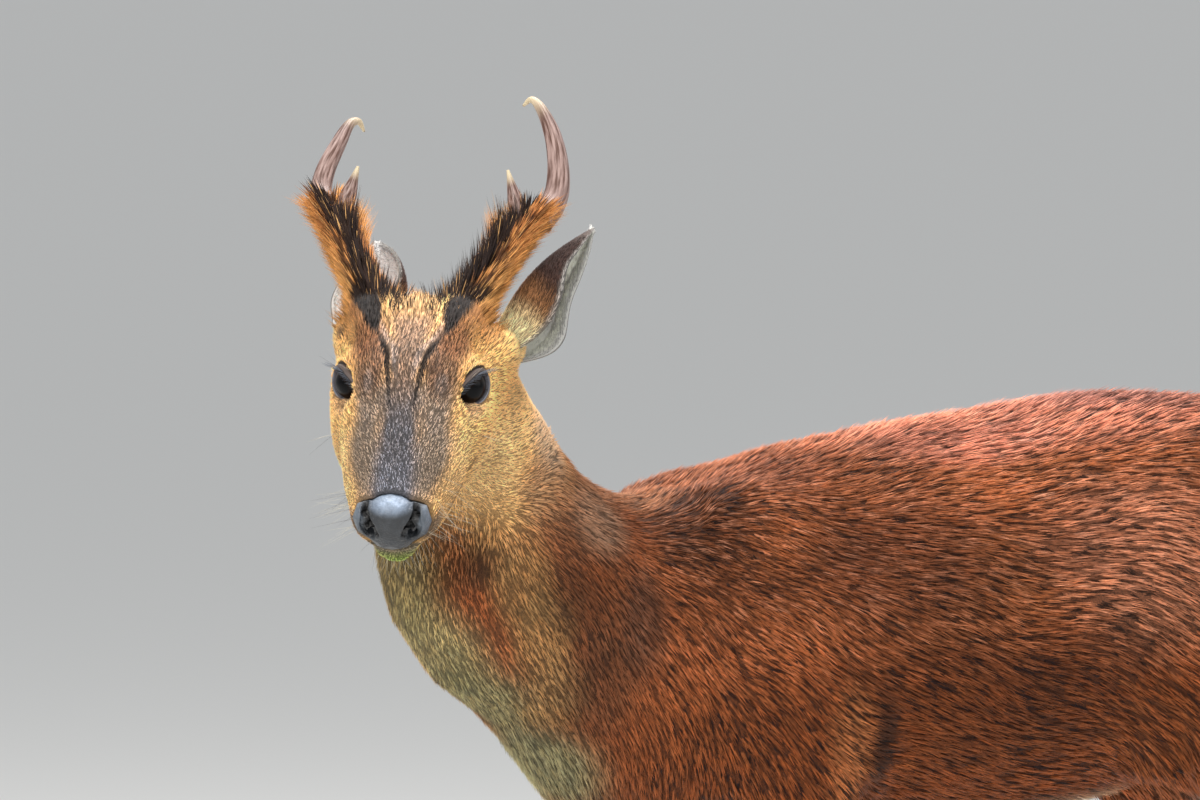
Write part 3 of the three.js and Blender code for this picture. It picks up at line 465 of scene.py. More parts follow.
def past_lid(side, out, up):
    """Degrees outside the lids' edge, negative inside, and the nearest point of the edge."""
    line = np.stack(lid_line(side), 1)
    ends = np.roll(line, -1, 0)
    p = np.stack([out, up], 1)[:, None]
    along = ends - line
    t = np.clip(((p - line) * along).sum(2) / (along * along).sum(1), 0, 1)
    close = line + t[..., None] * along
    gap = length_of(p - close)
    best = gap.argmin(1)
    rows = np.arange(len(out))
    crossings = (line[:, 1] > p[..., 1]) != (ends[:, 1] > p[..., 1])
    rise = np.where(np.abs(along[:, 1]) < 1e-9, 1e-9, along[:, 1])
    at = line[:, 0] + (p[..., 1] - line[:, 1]) / rise * along[:, 0]
    inside = (crossings & (p[..., 0] < at)).sum(1) % 2 == 1
    return np.where(inside, -1, 1) * gap[rows, best], close[rows, best]


def near_eyes(mesh, reach, margin):
    head = to_head(places_of(mesh))
    chosen = np.zeros(len(head), bool)
    for side in SIDES:
        out, up, far = eye_polar(side, head)
        chosen |= (far < reach) & (np.abs(out) < 90) & (np.abs(up) < margin)
    return chosen


def mouth_height(head):
    return head[:, 2] + 24 - 0.03 * (head[:, 0] - 52)


MOUTH_SPREAD = 118


def mouth_fade(head):
    turn = np.degrees(np.abs(np.arctan2(head[:, 1], head[:, 0] - 52)))
    on_muzzle = (np.abs(head[:, 1]) < 60) & (head[:, 0] < 135)
    return eased(turn, MOUTH_SPREAD, MOUTH_SPREAD - 14) * on_muzzle


# Grooves of the face, in the head's millimetres for the left side: the two thin slits that run up
# the forehead, and the wrinkle of the gland under each eye's inner corner.
BROW_SLIT = [[-17, 22, 31.5], [-6, 17.5, 32], [6, 12.6, 32], [22, 10, 31], [42, 7.5, 26]]
GLAND = [[20, 30.5, 13], [27, 32.5, 7], [35, 32, 1.5]]


def off_line(points, line, samples=40):
    """Distance from a smooth line or its mirror image, and the place along it from 0 to 1."""
    places, _ = smooth_line(line, samples)
    p = one_side(points)
    gap = np.full(len(p), 1e9)
    at = np.zeros(len(p))
    close = np.flatnonzero(length_of(p - places.mean(0)) < 60)
    if len(close):
        all_gaps = length_of(p[close, None] - places[None])
        gap[close] = all_gaps.min(1)
        at[close] = all_gaps.argmin(1) / (samples - 1)
    return gap, at


def fine_face(mesh):
    head = to_head(places_of(mesh))
    mouth = (np.abs(mouth_height(head)) < 6) & (mouth_fade(head) > 0) & (head[:, 0] > 20)
    grooves = (off_line(head, BROW_SLIT)[0] < 6) | (off_line(head, GLAND)[0] < 7)
    return mouth | near_eyes(mesh, 27, 75) | grooves


refine(skin, fine_face(skin.data))
relax(skin.data, 2, fine_face(skin.data).astype(float))
by_slit = off_line(to_head(places_of(skin.data)), BROW_SLIT)[0] < 2.6
refine(skin, near_eyes(skin.data, 22, 60) | by_slit)


def coat_depth(points):
    """How deep the skin lies under the coat's surface, mm."""
    head = to_head(points)
    on_head = eased(head[:, 0], -75, -35) * eased(head[:, 2], -95, -70)
    low = eased(points[:, 2] / MM, 240, 120)
    return 3.4 * (1 - on_head) * (1 - low) + 0.7 * on_head + 1.5 * low * (1 - on_head)


mesh = skin.data
places, outward = places_of(mesh), outward_of(mesh)
places -= outward * (coat_depth(places) * MM)[:, None]
put_places(mesh, places)
head, outward = to_head(places), outward_of(mesh) @ head_axes
groove = np.zeros(len(head))
gap, at = off_line(head, BROW_SLIT)
groove += 1.5 * peak(gap, 0, 1.0) * np.sin(np.clip(at, 0, 1) * math.pi) ** 0.4
groove -= 0.6 * peak(gap, 3.0, 1.6) * np.sin(np.clip(at, 0, 1) * math.pi) ** 0.5
gap, at = off_line(head, GLAND)
groove += 2.2 * peak(gap, 0, 1.3) * np.sin(np.clip(at, 0.02, 0.98) * math.pi) ** 0.5
groove -= 0.9 * peak(gap, 3.2, 1.6)
on_mouth = mouth_fade(head) * (head[:, 0] > 25)
groove += 1.9 * peak(mouth_height(head), 0, 1.1) * on_mouth
groove -= 0.8 * peak(np.abs(mouth_height(head)), 2.6, 1.4) * on_mouth
head = head - outward * groove[:, None]
lid_gap = np.full(len(head), 99.0)
for side, s in SIDES.items():
    out, up, reach = eye_polar(side, head)
    near = np.flatnonzero((reach < 40) & (np.abs(out) < 100) & (np.abs(up) < 85))
    out, up, reach = out[near], up[near], reach[near]
    gap, close = past_lid(side, out, up)
    snap = np.abs(gap) < 1.3
    out, up = np.where(snap, close[:, 0], out), np.where(snap, close[:, 1], up)
    gap = np.where(snap, 0, gap)
    upper = eased(up - 0.1 * out, -6, 6)
    fold = (
        15.5
        + 0.5 * eased(gap, 0, 3)
        + 0.5 * peak(gap, 7, 4)
        - upper * 1.25 * peak(gap, 14, 2.4)
        + upper * 0.9 * peak(gap, 20, 4)
        - (1 - upper) * 0.7 * peak(gap, 13, 2.6)
    )
    blend = eased(gap, 8, 38)
    shaped = np.where(gap < -0.01, 12.2, fold * (1 - blend) + reach * blend)
    beyond = eased(reach, 17.5, 21.5)  # skin that rises in front of the inner corner
    shaped = shaped * (1 - beyond) + reach * beyond
    gap = gap + 60 * beyond
    crease = (
        -upper * 0.8 * peak(gap, 14, 2.4) * blend
        + upper * 0.5 * peak(gap, 20, 4) * blend
    )
    head[near] = from_eye(side, out, up, shaped + crease * (1 - beyond))
    lid_gap[near] = np.minimum(lid_gap[near], gap)
put_places(mesh, from_head(head))

# Ears: thin cupped shells, finely ribbed inside, joined to the skin over a rounded seat.
EARS = {
    "left": dict(
        s=1,
        root=[46.5, 48, 18.5],
        tip=[99.5, 97, 91],
        faces=[1, 0, 0.03],
        width=54,
        curl=(140, 84),
        opens=0.69,
        lean=-4,
        bow=8,
    ),
    "right": dict(
        s=-1,
        root=[37.5, 47.5, 14.5],
        tip=[37.5, 116, 81.5],
        faces=[0.045, -0.68, 0.73],
        width=51.5,
        curl=(148, 91),
        opens=0.3,
        lean=28,
        bow=6,
    ),
}
EAR_THICKNESS = 2.2


def ear_breadth(t):
    spread = 0.36 + 0.64 * math.sin(min(1, t * 1.9) * math.pi / 2)
    past = max(0, (t - 0.4) / 0.6)
    return spread * max(0.05, 1 - past**1.6) ** 0.85


def ear_sheets(s, root, tip, faces, width, curl, opens, lean, bow, rows=44, columns=30):
    """Outer and inner sheets of points, rows from root to tip, in the head's millimetres."""
    place = lambda p: np.array(upright(s * p[0], p[1], p[2]))
    start, end = place(root), place(tip)
    along = end - start
    size = np.linalg.norm(along)
    along /= size
    opening = place(faces) - place([0, 0, 0])
    opening = unit(opening - (opening @ along) * along)
    across = np.cross(along, opening)
    outer, inner, middles = [], [], []
    for r in range(rows + 1):
        t = r / rows
        half = math.radians(curl[0] + (curl[1] - curl[0]) * float(eased(t, 0, opens)))
        radius = width / 2 * ear_breadth(t) / math.sin(min(half, math.pi / 2))
        bend = bow * math.sin(t * math.pi) - 4 * t
        middle = start + along * size * t + opening * (radius - bend - 8)
        rim = EAR_THICKNESS + (1.2 - EAR_THICKNESS) * t
        across_ear = np.linspace(-1, 1, columns + 1)
        turn = math.radians(lean) * math.sqrt(max(0, math.sin(t * math.pi)))
        edge = np.abs(across_ear) ** 4
        spoke = lambda a: -np.cos(a)[:, None] * opening + np.sin(a)[:, None] * across
        ribs = 0.35 * np.sin(across_ear * 26) * math.sin(t * math.pi) * (1 - edge)
        outer.append(middle + spoke(across_ear * half + turn) * radius)
        thin = np.maximum(radius - rim * (1 - 0.55 * edge) + ribs, radius * 0.45)
        inner.append(middle + spoke(across_ear * half * 0.985 + turn) * thin[:, None])
        middles.append(middle)
    return np.array(outer), np.array(inner), along, np.array(middles)


ear_shapes, ears = {}, []
for side, ear in EARS.items():
    outer, inner, along, middles = ear_sheets(**ear)
    ear_shapes[side] = (outer, inner, middles)
    rows, columns = outer.shape[0], outer.shape[1]
    points = from_head(np.vstack([outer.reshape(-1, 3), inner.reshape(-1, 3)]))
    shift = rows * columns
    faces = []
    for r in range(rows - 1):
        for c in range(columns - 1):
            a, b = r * columns + c, (r + 1) * columns + c
            faces.append((a, a + 1, b + 1, b))
            faces.append((shift + a, shift + b, shift + b + 1, shift + a + 1))
        a, b = r * columns, (r + 1) * columns
        faces.append((a, b, shift + b, shift + a))
        a, b = a + columns - 1, b + columns - 1
        faces.append((a, shift + a, shift + b, b))
    for c in range(columns - 1):
        faces.append((c, shift + c, shift + c + 1, c + 1))
        a = (rows - 1) * columns + c
        faces.append((a, a + 1, shift + a + 1, shift + a))
    shell = new_piece("ear_shell", points, faces)
    turn_outward(shell)
    ears.append(shell)
    seat = from_head(np.array(upright(ear["s"] * ear["root"][0], *ear["root"][1:])) + along * 4)
    bpy.ops.mesh.primitive_uv_sphere_add(segments=28, ring_count=18, radius=13.4 * MM, location=seat)
    bpy.ops.object.transform_apply(location=True, rotation=True, scale=True)
    ears.append(bpy.context.object)
    while ears[-1].data.uv_layers:
        ears[-1].data.uv_layers.remove(ears[-1].data.uv_layers[0])

# Colours of coat and skin, painted in soft spots: colour, place, reach and strength. Face spots
# are in the head's millimetres and body spots in the frame's, with y from the midline. Both are
# mirrored about the middle. A few of the spots hold painted highlights and painted shade, marked
# where they stand.
GOLD, PALE_GOLD = (1.05, 0.60, 0.23), (1.06, 0.69, 0.33)
CREAM, GRIZZLE = (0.62, 0.44, 0.21), (0.33, 0.26, 0.215)
CHESTNUT, DEEP_CHESTNUT_AND_SHADE = (0.37, 0.108, 0.034), (0.20, 0.05, 0.011)
BLACK, WHITE, PALE_GREY = (0.020, 0.015, 0.013), (0.80, 0.76, 0.66), (0.30, 0.285, 0.15)
FACE_PAINT = [
    (PALE_GOLD, (22, 46, -52), (42, 26, 34), 0.6),
    (PALE_GOLD, (60, 34, -6), (34, 14, 20), 0.5),
    (CREAM, (-22, 62, -52), (26, 20, 34), 0.5),
    ((0.80, 0.62, 0.30), (-45, 54, -8), (17, 16, 18), 0.8),
    ((0.25, 0.205, 0.17), (70, 20, 10), (44, 15, 15), 0.9),
    (GRIZZLE, (34, 20, 21), (26, 15, 13), 0.85),
    ((0.19, 0.19, 0.22), (100, 0, 12), (24, 17, 14), 1.0),
    ((0.185, 0.185, 0.215), (82, 0, 16), (28, 16, 12), 1.0),
    ((0.15, 0.142, 0.155), (60, 0, 21), (30, 14.5, 10), 1.0),
    ((0.19, 0.165, 0.165), (38, 0, 27), (22, 15, 9), 0.9),
    ((0.25, 0.16, 0.112), (4, 0, 32), (38, 14, 13), 0.95),
    ((0.40, 0.25, 0.16), (-22, 0, 30), (20, 17, 12), 0.85),
    ((0.20, 0.105, 0.06), (12, 22, 25), (25, 14, 14), 0.9),
    ((0.22, 0.115, 0.065), (6, 17, 29), (24, 6, 10), 0.9),
    ((0.225, 0.095, 0.04), (-11, 27, 26), (19, 14, 14), 0.95),
    ((0.34, 0.28, 0.25), (23, 22, 24), (8, 4.5, 6), 0.45),
    ((0.72, 0.44, 0.205), (-43, 0, 24), (17, 15, 15), 0.95),
    ((0.46, 0.22, 0.075), (-44, 40, 18), (24, 16, 22), 0.9),
    ((0.30, 0.135, 0.05), (-34, 32, 27), (17, 12, 14), 0.85),
    ((0.40, 0.30, 0.25), (14, 38, 2), (17, 12, 9), 0.45),
    ((0.20, 0.15, 0.12), (104, 24, -14), (16, 9, 9), 0.8),
    ((0.22, 0.20, 0.14), (113, 10, -27), (13, 20, 9), 0.9),
    ((0.29, 0.42, 0.075), (106, 0, -40), (24, 20, 12), 0.95),
    ((0.62, 0.52, 0.26), (60, 10, -52), (44, 18, 20), 0.7),
    ((0.13, 0.075, 0.045), (-33, 46, 5), (3.8, 3.8, 3.8), 0.9),
    ((0.13, 0.075, 0.045), (-19, 48, -14), (2.4, 2.4, 2.4), 0.8),
    ((0.22, 0.13, 0.07), (-34, 53, -14), (8, 6, 5), 0.5),
    ((0.16, 0.09, 0.05), (34, 44, -28), (2.2, 2.2, 2.2), 0.7),
    ((0.16, 0.09, 0.05), (10, 52, -36), (2.2, 2.2, 2.2), 0.6),
    ((0.46, 0.24, 0.12), (4, 78, -84), (30, 24, 24), 0.85),
    ((0.44, 0.30, 0.19), (-26, 78, -72), (24, 20, 24), 0.85),
]
BODY_PAINT = [
    # Lighter and pinker along the top of the back, this spot and the next: partly paler hair tips, partly
    # painted highlight.
    ((0.50, 0.175, 0.085), (100, 0, 560), (360, 80, 52), 0.9),
    ((0.56, 0.22, 0.13), (180, 0, 575), (260, 60, 30), 0.7),
    # Darker low on the flank, here and in two spots below: partly the coat's deeper tone, partly painted
    # shade.
    (DEEP_CHESTNUT_AND_SHADE, (60, 80, 340), (300, 80, 90), 0.85),
    ((0.30, 0.10, 0.035), (20, 80, 440), (80, 40, 40), 0.5),
    ((0.52, 0.20, 0.10), (150, 80, 450), (70, 40, 56), 0.8),
    # Pale pink along the top of the back: partly frosted hair tips, partly painted highlight.
    ((0.80, 0.29, 0.175), (70, 30, 545), (190, 60, 28), 0.85),
    ((0.50, 0.185, 0.095), (140, 90, 470), (80, 44, 44), 0.6),
    # Darker low on the flank: partly the coat's deeper tone, partly painted shade.
    ((0.15, 0.04, 0.010), (40, 80, 365), (90, 60, 50), 0.7),
    ((0.37, 0.18, 0.085), (-262, 30, 505), (60, 70, 60), 0.9),
    ((0.13, 0.045, 0.017), (-238, 40, 436), (52, 60, 66), 0.85),
    ((0.105, 0.033, 0.012), (-152, 60, 484), (42, 50, 40), 0.85),
    # Pale nape, this spot and the next: painted rim highlight along the top of the neck.
    ((0.42, 0.21, 0.11), (-200, 14, 514), (56, 44, 30), 0.75),
    ((0.42, 0.18, 0.085), (-182, 20, 500), (36, 30, 24), 0.7),
    ((0.62, 0.48, 0.24), (-300, 80, 540), (50, 45, 50), 0.6),
    ((0.30, 0.235, 0.10), (-338, 25, 455), (42, 44, 40), 0.9),
    ((0.46, 0.38, 0.175), (-318, 35, 410), (40, 42, 40), 0.9),
    ((0.30, 0.27, 0.13), (-285, 35, 375), (40, 42, 40), 0.9),
    (PALE_GREY, (-240, 20, 335), (48, 44, 42), 0.9),
    # Painted shadow of the jaw: dark brown on the upper throat under it.
    ((0.13, 0.06, 0.025), (-308, 82, 468), (24, 22, 24), 0.8),
    ((0.46, 0.255, 0.095), (-281, 87, 452), (22, 30, 34), 0.75),
    ((0.46, 0.255, 0.095), (-266, 84, 418), (22, 30, 34), 0.75),
    ((0.40, 0.23, 0.09), (-250, 64, 382), (24, 34, 30), 0.75),
    ((0.13, 0.05, 0.022), (-222, 72, 395), (26, 30, 50), 0.7),
    ((0.10, 0.045, 0.026), (-196, 76, 430), (18, 20, 40), 0.7),
    ((0.42, 0.235, 0.14), (-221, 72, 492), (26, 30, 26), 0.8),
    ((0.125, 0.05, 0.02), (-250, 94, 441), (18, 26, 34), 0.6),
    # Pale pink along the top of the back: partly frosted hair tips, partly painted highlight.
    ((0.82, 0.30, 0.19), (40, 44, 532), (70, 30, 24), 0.6),
    ((0.30, 0.10, 0.05), (-100, 36, 520), (60, 40, 24), 0.6),
    # Pinkish along the top of the back: partly frosted hair tips, partly painted highlight.
    ((0.36, 0.15, 0.125), (150, 20, 562), (150, 48, 22), 0.7),
    ((0.17, 0.048, 0.018), (-22, 85, 458), (60, 40, 44), 0.6),
    # Darker low on the flank: partly the coat's deeper tone, partly painted shade.
    ((0.24, 0.07, 0.02), (165, 74, 345), (50, 40, 40), 0.6),
    ((0.50, 0.18, 0.06), (-60, 92, 346), (18, 26, 44), 0.6),
    ((0.04, 0.014, 0.006), (-37, 92, 340), (11, 26, 50), 0.9),
    ((0.50, 0.38, 0.24), (70, 0, 285), (230, 46, 34), 0.9),
    (WHITE, (352, 0, 440), (34, 30, 80), 0.9),
    (WHITE, (290, 22, 300), (40, 26, 60), 0.7),
    ((0.17, 0.075, 0.035), (-80, 57, 120), (60, 50, 130), 0.85),
    ((0.17, 0.075, 0.035), (330, 57, 130), (60, 50, 120), 0.85),
    ((0.09, 0.05, 0.032), (120, 57, 40), (400, 80, 44), 0.85),
]
STEM_BLACK = [[-66, 31, 24], [-54, 28, 27], [-42, 27.5, 30], [-28, 25, 31], [-14, 21.5, 31]]


def wave_at(points, size, seed):
    """A slow random wave over space, about -1 to 1."""
    draw = np.random.default_rng(seed)
    total = np.zeros(len(points))
    for _ in range(20):
        way = unit(draw.normal(0, 1, 3)) / (size * draw.uniform(0.5, 2.2))
        total += np.sin(points @ way + draw.uniform(0, 6.28))
    return total / 4.5


def near_spot(points, place, reach):
    return eased(length_of((points - np.array(place)) / np.array(reach)), 1.25, 0.45)


def plain(tone, count):
    return np.tile(np.array(tone), (count, 1))


def over(colour, tone, amount):
    return colour * (1 - amount[:, None]) + np.array(tone) * amount[:, None]


def with_spots(ground, spots, points):
    colour = plain(ground, len(points))
    for tone, place, reach, strength in spots:
        colour = over(colour, tone, near_spot(points, place, reach) * strength)
    return colour


def pelage(points):
    """Coat colour (linear), with some painted highlights and shade in it, and how grizzled it is, at places
    in metres.
    """
    head, body = one_side(to_head(points)), one_side(points / MM - (0, MIDLINE, 0))
    colour = with_spots(CHESTNUT, BODY_PAINT, body)
    face = with_spots(GOLD, FACE_PAINT, head)
    on_head = eased(head[:, 0], -72, -44) * eased(head[:, 2], -104, -74)
    gap, at = off_line(head, BROW_SLIT)
    inner = eased(head[:, 1], 26, 12) * (head[:, 0] > -22) * eased(head[:, 0], 34, 10)
    ridge = peak(gap, 4.2, 2.0) * inner * (head[:, 1] < 26 - (head[:, 0] + 24) * 0.42)
    face = over(face, (0.44, 0.36, 0.33), ridge * 0.6)
    face = over(face, BLACK, eased(gap, 3.0 - 0.7 * at, 1.5 - 0.4 * at) * 0.95)
    gap, at = off_line(head, STEM_BLACK)
    wide = 12.5 - 11.0 * at**2.4 + 1.2 * wave_at(points, 0.003, 8)
    face = over(face, BLACK, eased(gap, wide + 1.5, wide - 1))
    colour = colour * (1 - on_head[:, None]) + face * on_head[:, None]
    throat = near_spot(body, (-300, 30, 400), (90, 70, 110))
    brow = near_spot(head, (40, 0, 20), (100, 34, 34)) * on_head
    flank = eased(body[:, 0], -240, -150) * (1 - on_head)
    return colour, 0.26 + np.maximum(0.62 * brow, 0.30 * throat + 0.16 * flank)


def paint(mesh, name, values):
    values = np.asarray(values, np.float32)
    if values.ndim == 2:
        layer = mesh.color_attributes.new(name, "FLOAT_COLOR", "POINT")
        layer.data.foreach_set("color", np.hstack([values, np.ones((len(values), 1))]).ravel())
    else:
        layer = mesh.attributes.new(name, "FLOAT", "POINT")
        layer.data.foreach_set("value", values)


def ear_colour(side, t, across_ear, inside):
    """Colour of an ear by its height, its place across (-1 to 1) and which face it is on."""
    t, c = np.asarray(t, float), np.abs(across_ear)
    back = plain((1.04, 0.83, 0.47), len(t))
    back = over(back, (0.30, 0.135, 0.052), eased(t - 0.06 * np.asarray(across_ear), 0.16, 0.34))
    back = over(back, (0.046, 0.016, 0.009), eased(t + 0.16 * c, 0.40, 0.60))
    back = over(back, (0.17, 0.135, 0.12), eased(t, 0.76, 0.92) * 0.8)
    back = over(back, (0.62, 0.60, 0.56), eased(c, 0.90, 0.99) * 0.8)
    # The right ear's inner face is painted much paler than the left's: painted light on the same fur.
    front = plain((0.95, 0.89, 0.86) if side == "right" else (0.72, 0.72, 0.63), len(t))
    hollow = eased(t, 0.40, 0.12) * eased(c, 0.65, 0.3)
    front = over(front, (0.20, 0.18, 0.17), hollow * 0.85)
    front = over(front, (0.40, 0.33, 0.24), near_strip(t, 0.62, 0.16) * near_strip(c, 0.66, 0.26) * 0.7)
    front = over(front, (0.30, 0.27, 0.28), near_strip(c, 0.78, 0.12) * eased(t, 0.25, 0.45) * 0.75)
    front = over(front, (0.70, 0.69, 0.66), eased(c, 0.90, 0.97))
    colour = np.where(inside[:, None], front, back)
    return over(colour, (0.72, 0.72, 0.69), eased(t, 0.93, 0.99) * 0.7)


def near_strip(value, middle, reach):
    return eased(np.abs(value - middle), reach, 0)


mesh = skin.data
colour, grizzle = pelage(places_of(mesh))
head = to_head(places_of(mesh))
below, above = np.zeros(len(head)), np.zeros(len(head))
for side in SIDES:
    out, up, reach = eye_polar(side, head)
    close = (reach < 24) & (np.abs(out) < 90)
    below[close] = eased(up - 0.1 * out, 0, -8)[close]
    above[close] = eased(up - 0.1 * out, 2, 10)[close]
bare = np.maximum(eased(lid_gap, 8, 4), eased(lid_gap, 19, 12) * above * 0.8)
colour = over(colour, (0.10, 0.085, 0.088), eased(lid_gap, 24, 14) * np.maximum(above, 0.5) * 0.97)
# Darker along the upper lid's crease: painted shade in the fold.
colour = over(colour, (0.05, 0.04, 0.042), peak(lid_gap, 14.5, 1.8) * above * 0.8)
colour = over(colour, (0.03, 0.024, 0.026), eased(lid_gap, 6 - 2.5 * above, 3.5 - 2.5 * above))
colour = over(colour, (0.24, 0.26, 0.31), peak(lid_gap, 1.6, 1.3) * below * 0.8)
gap, at = off_line(head, BROW_SLIT)
colour = over(colour, BLACK, eased(gap, 2.2, 0.9))
# Dark along the gland's slit: painted shade in its groove.
gap, at = off_line(head, GLAND)
colour = over(colour, (0.06, 0.04, 0.035), eased(gap, 1.8, 0.6) * 0.8)
# Near black along the mouth: the dark lip edge and painted shade in the groove between the lips.
mouth = peak(mouth_height(head), 0, 1.6) * mouth_fade(head) * (head[:, 0] > 25)
colour = over(colour, (0.03, 0.025, 0.025), mouth)
paint(mesh, "pelage", colour)
paint(mesh, "bare", np.maximum(bare, mouth))
for shell, side in zip(ears[::2], EARS):
    rows, columns = ear_shapes[side][0].shape[:2]
    t = np.repeat(np.linspace(0, 1, rows), columns)
    c = np.tile(np.linspace(-1, 1, columns), rows)
    tones = [ear_colour(side, t, c, np.full(len(t), inside)) for inside in (False, True)]
    paint(shell.data, "pelage", np.vstack(tones))
    paint(shell.data, "bare", np.concatenate([t * 0, t * 0 + 0.78]))
    paint(shell.data, "shell", np.ones(2 * len(t)))
for seat in ears[1::2]:
    count = len(seat.data.vertices)
    paint(seat.data, "pelage", plain((0.95, 0.76, 0.38), count))
    paint(seat.data, "bare", np.zeros(count))
    paint(seat.data, "shell", np.zeros(count))
paint(mesh, "shell", np.zeros(len(mesh.vertices)))
skin_only = len(mesh.vertices)
choose(skin, ears)
bpy.ops.object.join()
bpy.ops.object.shade_smooth()


def attribute(tree, name, output="Fac"):
    return add_node(tree, "ShaderNodeAttribute", {"attribute_name": name}).outputs[output]


def object_places(tree):
    return add_node(tree, "ShaderNodeTexCoord").outputs["Object"]


def noise(tree, scale, detail, places=None, dimensions="3D"):
    places = object_places(tree) if places is None else places
    settings = {"noise_dimensions": dimensions}
    node = add_node(tree, "ShaderNodeTexNoise", settings, Scale=scale, Detail=detail, Vector=places)
    return node.outputs["Fac"]


def ranged(tree, value, start, end, low=0, high=1):
    """A value from start to end turned into one from low to high, and held there beyond."""
    ends = dict(From_Min=start, From_Max=end, To_Min=low, To_Max=high)
    return add_node(tree, "ShaderNodeMapRange", Value=value, **ends).outputs["Result"]


def joined_values(tree, operation, first, second):
    node = add_node(tree, "ShaderNodeMath", {"operation": operation})
    tree.links.new(first, node.inputs[0])
    tree.links.new(second, node.inputs[1])
    return node.outputs["Value"]


def mixed(tree, share, first, second, blend="MIX"):
    settings = {"data_type": "RGBA", "blend_type": blend}
    node = add_node(tree, "ShaderNodeMix", settings, Factor=share, A=first, B=second)
    return node.outputs["Result"]


def bumped(tree, height, strength, depth, invert=False):
    """The normals of a relief whose full depth is given in millimetres."""
    settings = {"invert": invert}
    node = add_node(tree, "ShaderNodeBump", settings, Strength=strength, Distance=depth * MM, Height=height)
    return node.outputs["Normal"]


def hide_material():
    """Hide between the hairs: the coat's own colours, darker, partly as dark undercoat and partly as
    painted shade between the hairs, with a fine pile in its bump; the bare lids, mouth edges and
    inner ears are smoother and a little moist."""
    material, tree, shader = new_material("hide")
    bare = attribute(tree, "bare")
    pile = noise(tree, 900, 3)
    light = joined_values(tree, "MAXIMUM", ranged(tree, pile, 0.3, 0.7, 0.14, 0.42), bare)
    feed(
        tree,
        shader,
        Base_Color=mixed(tree, 1, attribute(tree, "pelage", "Color"), light, "MULTIPLY"),
        Roughness=ranged(tree, bare, 0, 1, 0.8, 0.42),
        Specular_IOR_Level=0.2,
        Normal=bumped(tree, pile, 0.6, 0.4),
    )
    return material


def finished(piece, material, slot, *nodes):
    """Gives a piece its material and its body, and names the CAD nodes it replaces; `slot` is not used."""
    piece.data.materials.append(material)
    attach(piece, "root")
    if nodes:
        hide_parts(*nodes)


skin.data.materials.clear()
finished(skin, hide_material(), "coat", "torso", "neck", "head", "ear_left", "ear_right", *LEGS)

# Eyes
# Dark, wet eyeballs: a brown iris with a level oval pupil under a clear bulging front. They sit in
# the openings of the lids and look out and a little up.
def eye_material():
    material, tree, shader = new_material("eye")
    off_axis = attribute(tree, "iris")
    place = add_node(tree, "ShaderNodeCombineXYZ", X=attribute(tree, "spokes"), Y=off_axis)
    fibre = noise(tree, 1, 4, place.outputs["Vector"], "2D")
    iris = toned(tree, fibre, (0.3, (0.003, 0.002, 0.002)), (0.75, (0.010, 0.005, 0.003)))
    rim = ranged(tree, off_axis, 9.2, 11.0)
    ringed = mixed(tree, rim, iris, (0.008, 0.006, 0.006, 1))
    past_pupil = ranged(tree, attribute(tree, "pupil"), 0.85, 1.1)
    feed(
        tree,
        shader,
        Base_Color=mixed(tree, past_pupil, (0.001, 0.001, 0.0015, 1), ringed),
        Roughness=0.3,
        Specular_IOR_Level=0.06,
        Coat_Weight=0.16,
        Coat_IOR=1.33,
        Coat_Roughness=0.03,
    )
    return material


eye_gloss = eye_material()
for side, s in SIDES.items():
    bpy.ops.mesh.primitive_uv_sphere_add(segments=64, ring_count=40, radius=1)
    ball = bpy.context.object
    ball.name = f"eyeball_{side}"
    local = places_of(ball.data)[:, [2, 0, 1]]  # the pole looks out
    off_axis = np.degrees(np.arctan2(length_of(local[:, 1:]), local[:, 0]))
    bulge = 0.75 * eased(off_axis, 46, 20)
    points = eye_places[side] + (local * (EYE_RADIUS - 0.35 + bulge)[:, None]) @ eye_axes[side]
    put_places(ball.data, from_head(points))
    paint(ball.data, "iris", off_axis / 90 * EYE_RADIUS * math.pi / 2)
    paint(ball.data, "pupil", length_of(local[:, 1:] * EYE_RADIUS / (6.4, 3.9)) + (local[:, 0] < 0) * 9)
    paint(ball.data, "spokes", np.degrees(np.arctan2(local[:, 2], local[:, 1])) / 4)
    turn_outward(ball)
    finished(ball, eye_gloss, "eye", f"eye_{side}")

# Nose
# The bare wet pad between and round the comma-shaped nostrils: pebbled slate-blue leather. Each
# nostril is pressed in along a curved line, with a raised rim.
def nose_material():
    material, tree, shader = new_material("nose_leather")
    pebbles = add_node(tree, "ShaderNodeTexVoronoi", Scale=620, Vector=object_places(tree))
    light = ranged(tree, noise(tree, 160, 5), 0.3, 0.7, 0.65, 1.35)
    feed(
        tree,
        shader,
        Base_Color=mixed(tree, 1, attribute(tree, "leather", "Color"), light, "MULTIPLY"),
        Normal=bumped(tree, pebbles.outputs["Distance"], 0.9, 0.5, True),
        Roughness=0.55,
        Coat_Weight=0.1,
        Coat_Roughness=0.2,
    )
    return material


